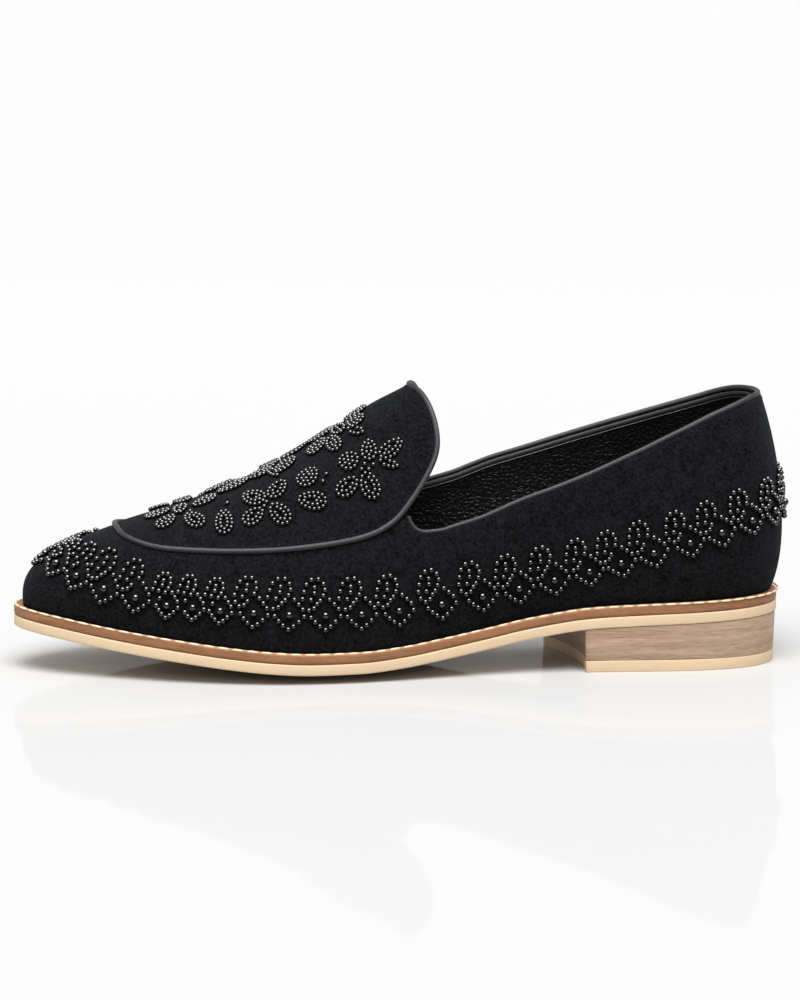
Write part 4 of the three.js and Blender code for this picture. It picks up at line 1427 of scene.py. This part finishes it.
# Petals and leaves on the plug: the turn in degrees, half the length and half the width
PETAL_COLUMNS = ("side", "station", "share", "turn", "long", "wide")
PETALS = [
    (-1, 151.4, 0.715, -24, 3.9, 3.9), (-1, 144.5, 0.713, -93, 4.5, 3.1), (-1, 137.4, 0.672, -142, 5.3, 3.1),
    (-1, 138.9, 0.623, -18, 4, 1.7), (-1, 145.4, 0.576, -75, 5.4, 3.6), (-1, 152.7, 0.61, -141, 4.8, 3.4),
    (-1, 182.9, 0.76, -45, 5, 3.8), (-1, 175.1, 0.756, -128, 4.9, 3.4), (-1, 175.4, 0.616, -62, 5.3, 3.6),
    (-1, 183.9, 0.642, -144, 4.6, 3.5), (-1, 193.6, 0.662, -94, 5.9, 3.5), (-1, 164.8, 0.747, -135, 4.7, 4),
    (-1, 164.4, 0.62, -18, 5.4, 3.8), (-1, 204.6, 0.74, -64, 5.2, 3.5), (-1, 217.3, 0.788, -137, 4.6, 3.2),
    (-1, 226, 0.93, -170, 4.8, 3.4), (-1, 199.2, 0.9, 20, 5, 3.2), (-1, 211, 0.9, 75, 4.4, 2.8),
    (-1, 208, 1.06, 100, 4.8, 3.4), (-1, 188, 0.945, 10, 6.2, 3.4), (-1, 192, 1.05, 15, 5.4, 3),
    (-1, 179, 0.955, 10, 4.8, 3.4), (-1, 171, 0.915, 40, 5.4, 3.4), (-1, 174.8, 0.9, 100, 4.4, 2.4),
    (-1, 175, 1.05, -60, 5, 3.4), (-1, 167, 1.04, 20, 5, 3.2), (-1, 160, 0.915, -140, 4.8, 3.3),
    (-1, 155, 0.86, -80, 5, 3.1), (-1, 158, 1.03, -20, 5, 3.3), (-1, 152.5, 0.95, -80, 4.6, 3),
    (-1, 147.8, 0.915, 15, 5, 3.4), (-1, 147.6, 0.845, -40, 3.8, 2), (-1, 146, 1.0, 10, 4.8, 3.2),
    (1, 205, 0.74, -64, 5.2, 3.5), (1, 216, 0.79, -137, 4.6, 3.2), (1, 194, 0.76, -45, 5, 3.8),
    (1, 186, 0.756, -128, 4.9, 3.4), (1, 186.4, 0.63, -62, 5.3, 3.6), (1, 195, 0.65, -144, 4.6, 3.5),
    (1, 175.8, 0.74, -135, 4.7, 4), (1, 174.4, 0.64, -18, 5.4, 3.8), (1, 164.4, 0.73, -24, 3.9, 3.9),
    (1, 156.5, 0.728, -93, 4.5, 3.1), (1, 149.4, 0.69, -142, 5.3, 3.1), (1, 157.4, 0.6, -75, 5.4, 3.6),
    (1, 164.7, 0.63, -141, 4.8, 3.4), (1, 163, 0.85, -80, 5, 3.1), (1, 155.8, 0.87, 15, 5, 3.4),
]

# Single beads: flower middles and the strays beside the leaves
SINGLES = [
    (-1, 191.4, 0.787), (-1, 158.8, 0.71), (-1, 160.2, 0.684), (-1, 146.4, 0.665), (-1, 145.2, 0.636),
    (-1, 147.5, 0.65), (-1, 143.6, 0.645), (-1, 179.1, 0.7), (-1, 177.9, 0.719), (-1, 178.1, 0.674),
    (-1, 180, 0.68), (-1, 209.7, 0.847), (-1, 206, 0.83), (-1, 209, 0.8), (-1, 174.3, 0.972),
    (-1, 153, 0.905), (1, 157.6, 0.68), (1, 159, 0.66), (1, 190, 0.705), (1, 189, 0.68), (1, 209, 0.8),
]


def ring_of_beads(long, wide, diameter):
    """Beads of a petal: closed rings one inside the other, and a row if the last leaves room."""
    a = long - diameter / 2
    b = wide - diameter / 2
    angle = np.linspace(0, 2 * math.pi, 200, endpoint=False)
    taper = 1 + PETAL_TAPER * np.cos(angle)
    spots = []
    while b > diameter * RING_LEAST:
        outline = np.column_stack([a * np.cos(angle), b * np.sin(angle) * taper, 0 * angle])
        length = np.linalg.norm(outline - np.roll(outline, 1, 0), axis=1).sum()
        count = max(4, int(round(length / (diameter * RING_SPACING))))
        spots.append(resampled(outline, count)[:, :2])
        a -= diameter * RING_STEP
        b -= diameter * RING_STEP
    if b > -diameter * ROW_LEAST:
        count = int(2 * a / diameter) + 1
        reach = a if count > 1 else 0.0
        spots.append(np.column_stack([np.linspace(-reach, reach, count), [0.0] * count]))
    return np.concatenate(spots)


def spaced(points, radii):
    """Keeps each bead that is clear of the beads before it."""
    kept = []
    for i in range(len(points)):
        if kept:
            near = np.linalg.norm(points[kept] - points[i], axis=1)
            if np.any(near < BEAD_CLEARANCE * (radii[kept] + radii[i])):
                continue
        kept.append(i)
    return np.array(kept)


def beads_piece(name, turns, shares, radii, step, nodes):
    """Beads on places of the upper, which stand on a step above its surface."""
    points = dressed(turns, shares, step + radii * BEAD_STAND)
    kept = spaced(points, radii)
    piece = points_object(name, to_row(points[kept]), radius=radii[kept] * MM)
    grown(piece, bead_tree(), {"Material": FINISHES.get("bead_glass")})
    settle(piece, "beads", *nodes)


def band_line():
    """Places along the line of the border's lowest beads, and the distance along it."""
    turns = np.linspace(-math.pi, math.pi, BAND_POINTS)
    shares = share_at_distance(turns, BAND["up"](station_of(np.abs(turns))) - BAND_HALF)
    points = surface(turns, shares)
    return turns, shares, points, lengths_along(points)


def border_places():
    """Distance along the border's lower line of each diamond's foot, and how much it is squeezed."""
    turns, _, _, lengths = band_line()
    near = [float(np.interp(-turn_of(station), turns, lengths)) for station in NEAR_MOTIFS]
    total = lengths[-1]
    start = near[-1]
    room = total - start + near[0]
    count = int(round(room / MOTIF_PITCH))
    far = [start + room * k / count for k in range(1, count)]
    middles = near + far
    gaps = np.diff(middles + [middles[0] + total])
    squeeze = []
    for i in range(len(middles)):
        nearest = min(gaps[i], gaps[i - 1])
        squeeze.append(float(np.clip(nearest / MOTIF_PITCH, MOTIF_LEAST, MOTIF_MOST)))
    return [middle % total for middle in middles], squeeze


def make_border_beads():
    sizes = bpy.context.scene.loafer_sizes
    small = sizes.small_bead / MM / 2
    big = sizes.big_bead / MM / 2
    turns, shares, points, lengths = band_line()
    middles, squeeze = border_places()
    rows = []
    for middle, tight in zip(middles, squeeze):
        turn = float(np.interp(middle, lengths, turns))
        share = float(np.interp(middle, lengths, shares))
        ahead = points_along(points, lengths, (middle + MOTIF_REACH) % lengths[-1])
        behind = points_along(points, lengths, (middle - MOTIF_REACH) % lengths[-1])
        normal = normal_at(np.array([turn]), np.array([share]))[0]
        along = unit(ahead - behind)
        up = unit(np.cross(normal, along))
        along = unit(np.cross(up, normal))
        spots = [(0.0, 0.0, big)] + [(x, y, small) for x, y in DIAMOND + ARCH]
        low = 1 - MOTIF_LOWERING * (1 - tight)
        for x, y, radius in spots:
            rows.append((turn, share, x * tight, (y + MOTIF_FOOT) * low, radius, *along, *up))
    rows = np.array(rows)
    places = walk(rows[:, 0], rows[:, 1], rows[:, 5:8], rows[:, 8:11], rows[:, 2], rows[:, 3])
    beads_piece("border_beads", places[0], places[1], rows[:, 4], 0.0, ["bead_border"])


def make_plug_beads():
    """Beads of every petal and leaf, each laid out flat and then bent over the plug."""
    sizes = bpy.context.scene.loafer_sizes
    diameter = sizes.plug_bead / MM
    rows = []

    def lay(side, station, share, spots):
        turn = side * float(turn_of(station))
        normal = normal_at(np.array([turn]), np.array([min(share, RIDGE_SHARE)]))[0]
        along = unit(np.array([1.0, 0, 0]) - normal[0] * normal)
        across = np.cross(normal, along) * (-side)
        for x, y in spots:
            rows.append((turn, share, x, y, *along, *across))

    for row in PETALS:
        petal = dict(zip(PETAL_COLUMNS, row))
        angle = -petal["side"] * math.radians(petal["turn"])
        c, s = math.cos(angle), math.sin(angle)
        spots = [(x * c - y * s, x * s + y * c)
                 for x, y in ring_of_beads(petal["long"], petal["wide"], diameter)]
        lay(petal["side"], petal["station"], petal["share"], spots)
    for side, station, share in SINGLES:
        lay(side, station, share, [(0.0, 0.0)])
    rows = np.array(rows)
    places = walk(rows[:, 0], rows[:, 1], rows[:, 4:7], rows[:, 7:10], rows[:, 2], rows[:, 3])
    nodes = [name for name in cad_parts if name.startswith(("flower_", "leaf_"))]
    radii = np.full(len(rows), diameter / 2)
    beads_piece("plug_beads", places[0], places[1], radii, PLUG_STEP, nodes)


# Stage

CAMERA_AZIMUTH = -8.5
CAMERA_ELEVATION = 9.2
CAMERA_DISTANCE = 2.2
CAMERA_AIM = (-0.00122, -0.00058, 0.05584)
CAMERA_ROLL = 0.7
SENSOR_WIDTH = 36.0
CLIP_START = 0.05
CLIP_END = 60.0
FOCAL_PIXELS = 6446.0
FRAME_PIXELS = 1000.0

FLOOR_SIZE = 14.0
FLOOR_ROUGHNESS = 0.04
FLOOR_IOR = 1.04

SUN_ENERGY = 4.2
SUN_PLACE = (-0.15, -0.9, 1.9)
SUN_ANGLE = 0.75

# The studio's light on dull things: an even fill, more from overhead and most from low down behind.
# Each pair gives the directions, as parts of a unit vector, between which a soft step runs.
WORLD_SOFT = 0.45
WORLD_TOP = 0.5
WORLD_TOP_HEIGHT = (0.6, 0.95)
WORLD_BACK = 1.0
WORLD_BACK_HEIGHT = (0.36, 0.2)
WORLD_BACK_DEPTH = (0.0, 0.5)

# Glossy things mirror a darker room, with an overhead softbox given by its lower, far and side edges
WORLD_MIRRORED = 0.03
SOFTBOX = 8.0
SOFTBOX_HEIGHT = (0.54, 0.72)
SOFTBOX_DEPTH = (0.34, 0.1)
SOFTBOX_WIDTH = (0.7, 0.45)


def make_stage():
    make_floor()
    make_world()
    make_sun()
    view = bpy.context.scene.view_settings
    view.view_transform = "Standard"
    view.look = "None"
    view.exposure = 0.0
    view.gamma = 1.0


def make_floor():
    colours = bpy.context.scene.loafer_colours
    half = FLOOR_SIZE / 2
    points = np.array([(-half, -half, 0), (half, -half, 0), (half, half, 0), (-half, half, 0)])
    material, tree, shader, place = new_material("studio_floor")
    FINISHES.mottled(tree, shader, place, colours.floor, FLOOR_MOTTLE)
    fill_in(tree, shader, {"Roughness": FLOOR_ROUGHNESS, "IOR": FLOOR_IOR})
    floor = mesh_object("studio_floor", points, [[0, 1, 2, 3]], material, smooth=False)


def make_world():
    """White for the camera, the studio's soft light on dull things, and a softbox in glossy ones."""
    world = bpy.data.worlds.new("studio")
    bpy.context.scene.world = world
    world.use_nodes = True
    tree = world.node_tree
    direction = tree.nodes.new("ShaderNodeTexCoord").outputs["Generated"]
    axes = put(tree, "ShaderNodeSeparateXYZ", Vector=direction)
    height = axes.outputs["Z"]
    depth = axes.outputs["Y"]
    sideways = math_node(tree, "ABSOLUTE", axes.outputs["X"])
    path = tree.nodes.new("ShaderNodeLightPath")
    glossy = path.outputs["Is Glossy Ray"]
    seen = path.outputs["Is Camera Ray"]
    back = product(tree, smooth_ramp(tree, height, *WORLD_BACK_HEIGHT),
                   smooth_ramp(tree, depth, *WORLD_BACK_DEPTH), WORLD_BACK)
    top = product(tree, smooth_ramp(tree, height, *WORLD_TOP_HEIGHT), WORLD_TOP)
    fill = math_node(tree, "ADD", product(tree, glossy, WORLD_MIRRORED - WORLD_SOFT), WORLD_SOFT)
    soft = math_node(tree, "ADD", math_node(tree, "ADD", back, top), fill)
    box = product(tree, smooth_ramp(tree, height, *SOFTBOX_HEIGHT), SOFTBOX,
                  smooth_ramp(tree, depth, *SOFTBOX_DEPTH),
                  smooth_ramp(tree, sideways, *SOFTBOX_WIDTH), glossy)
    total = math_node(tree, "ADD", soft, box)
    unseen = product(tree, total, math_node(tree, "SUBTRACT", 1.0, seen))
    strength = math_node(tree, "ADD", unseen, seen)
    fill_in(tree, tree.nodes["Background"], {"Color": (1, 1, 1, 1), "Strength": strength})


def make_sun():
    data = bpy.data.lights.new("key", "SUN")
    data.energy = SUN_ENERGY
    data.angle = SUN_ANGLE
    light = bpy.data.objects.new("key", data)
    light.location = SUN_PLACE
    light.rotation_mode = "QUATERNION"
    light.rotation_quaternion = (-Vector(SUN_PLACE)).to_track_quat("-Z", "Y")
    bpy.context.scene.collection.objects.link(light)


def make_camera():
    azimuth = math.radians(CAMERA_AZIMUTH)
    elevation = math.radians(CAMERA_ELEVATION)
    back = Vector((math.sin(azimuth) * math.cos(elevation), -math.cos(azimuth) * math.cos(elevation),
                   math.sin(elevation)))
    data = bpy.data.cameras.new("camera")
    data.sensor_width = SENSOR_WIDTH
    data.lens = FOCAL_PIXELS / FRAME_PIXELS * SENSOR_WIDTH
    data.clip_start = CLIP_START
    data.clip_end = CLIP_END
    camera = bpy.data.objects.new("camera", data)
    camera.location = Vector(CAMERA_AIM) + back * CAMERA_DISTANCE
    camera.rotation_mode = "QUATERNION"
    roll = Quaternion((0, 0, 1), math.radians(CAMERA_ROLL))
    camera.rotation_quaternion = (-back).to_track_quat("-Z", "Y") @ roll
    bpy.context.scene.collection.objects.link(camera)
    bpy.context.scene.camera = camera


# Settings and operators


class LoaferSizes(bpy.types.PropertyGroup):
    """Sizes of the loafer's trimmings."""

    piping_width: bpy.props.FloatProperty(
        name="Piping Width", description="Diameter of the leather-covered cord", default=0.0019,
        unit="LENGTH", precision=4)
    midsole_rounding: bpy.props.FloatProperty(
        name="Midsole Rounding", description="Radius of the brown layer's edges", default=0.0008,
        unit="LENGTH", precision=4)
    welt_stitch: bpy.props.FloatProperty(
        name="Welt Stitch", description="Length of one stitch on the welt", default=0.0049,
        unit="LENGTH", precision=4)
    small_bead: bpy.props.FloatProperty(
        name="Small Bead", description="Diameter of the beads in the border's rings", default=0.0019,
        unit="LENGTH", precision=4)
    plug_bead: bpy.props.FloatProperty(
        name="Plug Bead", description="Diameter of the beads in petals and leaves", default=0.0016,
        unit="LENGTH", precision=4)
    big_bead: bpy.props.FloatProperty(
        name="Big Bead", description="Diameter of the bead in each diamond", default=0.0026,
        unit="LENGTH", precision=4)


def colour_property(name, description, default):
    return bpy.props.FloatVectorProperty(name=name, description=description, default=default,
                                         size=3, min=0.0, max=1.0, subtype="COLOR")


class LoaferColours(bpy.types.PropertyGroup):
    """Colours of the loafer's materials."""

    suede: colour_property("Suede", "Black nubuck of the upper", (0.0064, 0.0067, 0.0075))
    piping: colour_property("Piping", "Charcoal leather of the piping", (0.026, 0.026, 0.029))
    # The binding edge's colour, lighter than the piping, is a painted highlight along the edge.
    edge: colour_property("Edge", "Worn edge of the collar's binding", (0.06, 0.06, 0.063))
    lining: colour_property("Lining", "Black lining leather", (0.0045, 0.0045, 0.0045))
    beads: colour_property("Beads", "Black glass beads", (0.0012, 0.0012, 0.0013))
    midsole: colour_property("Midsole", "Brown stitched layer", (0.265, 0.122, 0.056))
    outsole: colour_property("Outsole", "Pale sole leather", (0.65, 0.49, 0.32))
    heel_dark: colour_property("Heel Dark", "Dark grain of the heel stack", (0.26, 0.165, 0.102))
    heel_light: colour_property("Heel Light", "Light grain of the heel stack", (0.49, 0.345, 0.235))
    pale_thread: colour_property("Pale Thread", "Thread of the welt stitches", (0.8, 0.64, 0.46))
    tan_thread: colour_property("Tan Thread", "Lower thread of the welt's seam", (0.5, 0.31, 0.18))
    dark_thread: colour_property("Dark Thread", "Thread of the upper's stitches", (0.008, 0.008, 0.009))
    floor: colour_property("Floor", "Studio floor", (0.52, 0.52, 0.52))


class SoleOperator(bpy.types.Operator):
    """Make the outsole and the stitched midsole layer."""

    bl_idname = "loafer.make_sole"
    bl_label = "Sole"

    def execute(self, context):
        make_sole()
        return {"FINISHED"}


class HeelOperator(bpy.types.Operator):
    """Make the heel block and its top lift."""

    bl_idname = "loafer.make_heel"
    bl_label = "Heel"

    def execute(self, context):
        make_heel()
        return {"FINISHED"}


class FootbedOperator(bpy.types.Operator):
    """Make the footbed."""

    bl_idname = "loafer.make_footbed"
    bl_label = "Footbed"

    def execute(self, context):
        make_footbed()
        return {"FINISHED"}


class UpperOperator(bpy.types.Operator):
    """Make the suede quarters and vamp, and the plug with its tongue."""

    bl_idname = "loafer.make_upper"
    bl_label = "Suede Upper"

    def execute(self, context):
        make_upper()
        return {"FINISHED"}


class LiningOperator(bpy.types.Operator):
    """Make the lining and the binding inside the collar."""

    bl_idname = "loafer.make_lining"
    bl_label = "Lining"

    def execute(self, context):
        make_lining()
        make_binding()
        return {"FINISHED"}


class PipingOperator(bpy.types.Operator):
    """Make the piping of the collar and the plug."""

    bl_idname = "loafer.make_piping"
    bl_label = "Piping"

    def execute(self, context):
        make_piping()
        return {"FINISHED"}


class StitchesOperator(bpy.types.Operator):
    """Make the rows of stitches."""

    bl_idname = "loafer.make_stitches"
    bl_label = "Stitches"

    def execute(self, context):
        make_welt_stitches()
        make_fine_stitches()
        return {"FINISHED"}


class BorderBeadsOperator(bpy.types.Operator):
    """Make the beaded border round the sides."""

    bl_idname = "loafer.make_border_beads"
    bl_label = "Border Beads"

    def execute(self, context):
        make_border_beads()
        return {"FINISHED"}


class PlugBeadsOperator(bpy.types.Operator):
    """Make the beaded flowers and leaves on the plug."""

    bl_idname = "loafer.make_plug_beads"
    bl_label = "Plug Beads"

    def execute(self, context):
        make_plug_beads()
        return {"FINISHED"}


class StageOperator(bpy.types.Operator):
    """Make the floor, the light and the camera."""

    bl_idname = "loafer.make_stage"
    bl_label = "Stage"

    def execute(self, context):
        make_stage()
        make_camera()
        return {"FINISHED"}


OPERATORS = (
    SoleOperator, HeelOperator, FootbedOperator, UpperOperator, LiningOperator, PipingOperator,
    StitchesOperator, BorderBeadsOperator, PlugBeadsOperator, StageOperator,
)


class LoaferPanel(bpy.types.Panel):
    """The loafer's sizes, colours and pieces in the sidebar."""

    bl_idname = "VIEW3D_PT_beaded_loafer"
    bl_label = "Beaded Loafer"
    bl_space_type = "VIEW_3D"
    bl_region_type = "UI"
    bl_category = "Loafer"

    def draw(self, context):
        layout = self.layout
        for settings in (context.scene.loafer_sizes, context.scene.loafer_colours):
            column = layout.column(align=True)
            for name in settings.__annotations__:
                column.prop(settings, name)
        for operator in OPERATORS:
            layout.operator(operator.bl_idname)


CLASSES = (LoaferSizes, LoaferColours, *OPERATORS, LoaferPanel)


def register():
    for item in CLASSES:
        bpy.utils.register_class(item)
    bpy.types.Scene.loafer_sizes = bpy.props.PointerProperty(type=LoaferSizes)
    bpy.types.Scene.loafer_colours = bpy.props.PointerProperty(type=LoaferColours)


def unregister():
    del bpy.types.Scene.loafer_colours
    del bpy.types.Scene.loafer_sizes
    for item in reversed(CLASSES):
        bpy.utils.unregister_class(item)


def main():
    register()
    for operator in OPERATORS:
        group, name = operator.bl_idname.split(".")
        getattr(getattr(bpy.ops, group), name)()


if __name__ == "__main__":
    main()
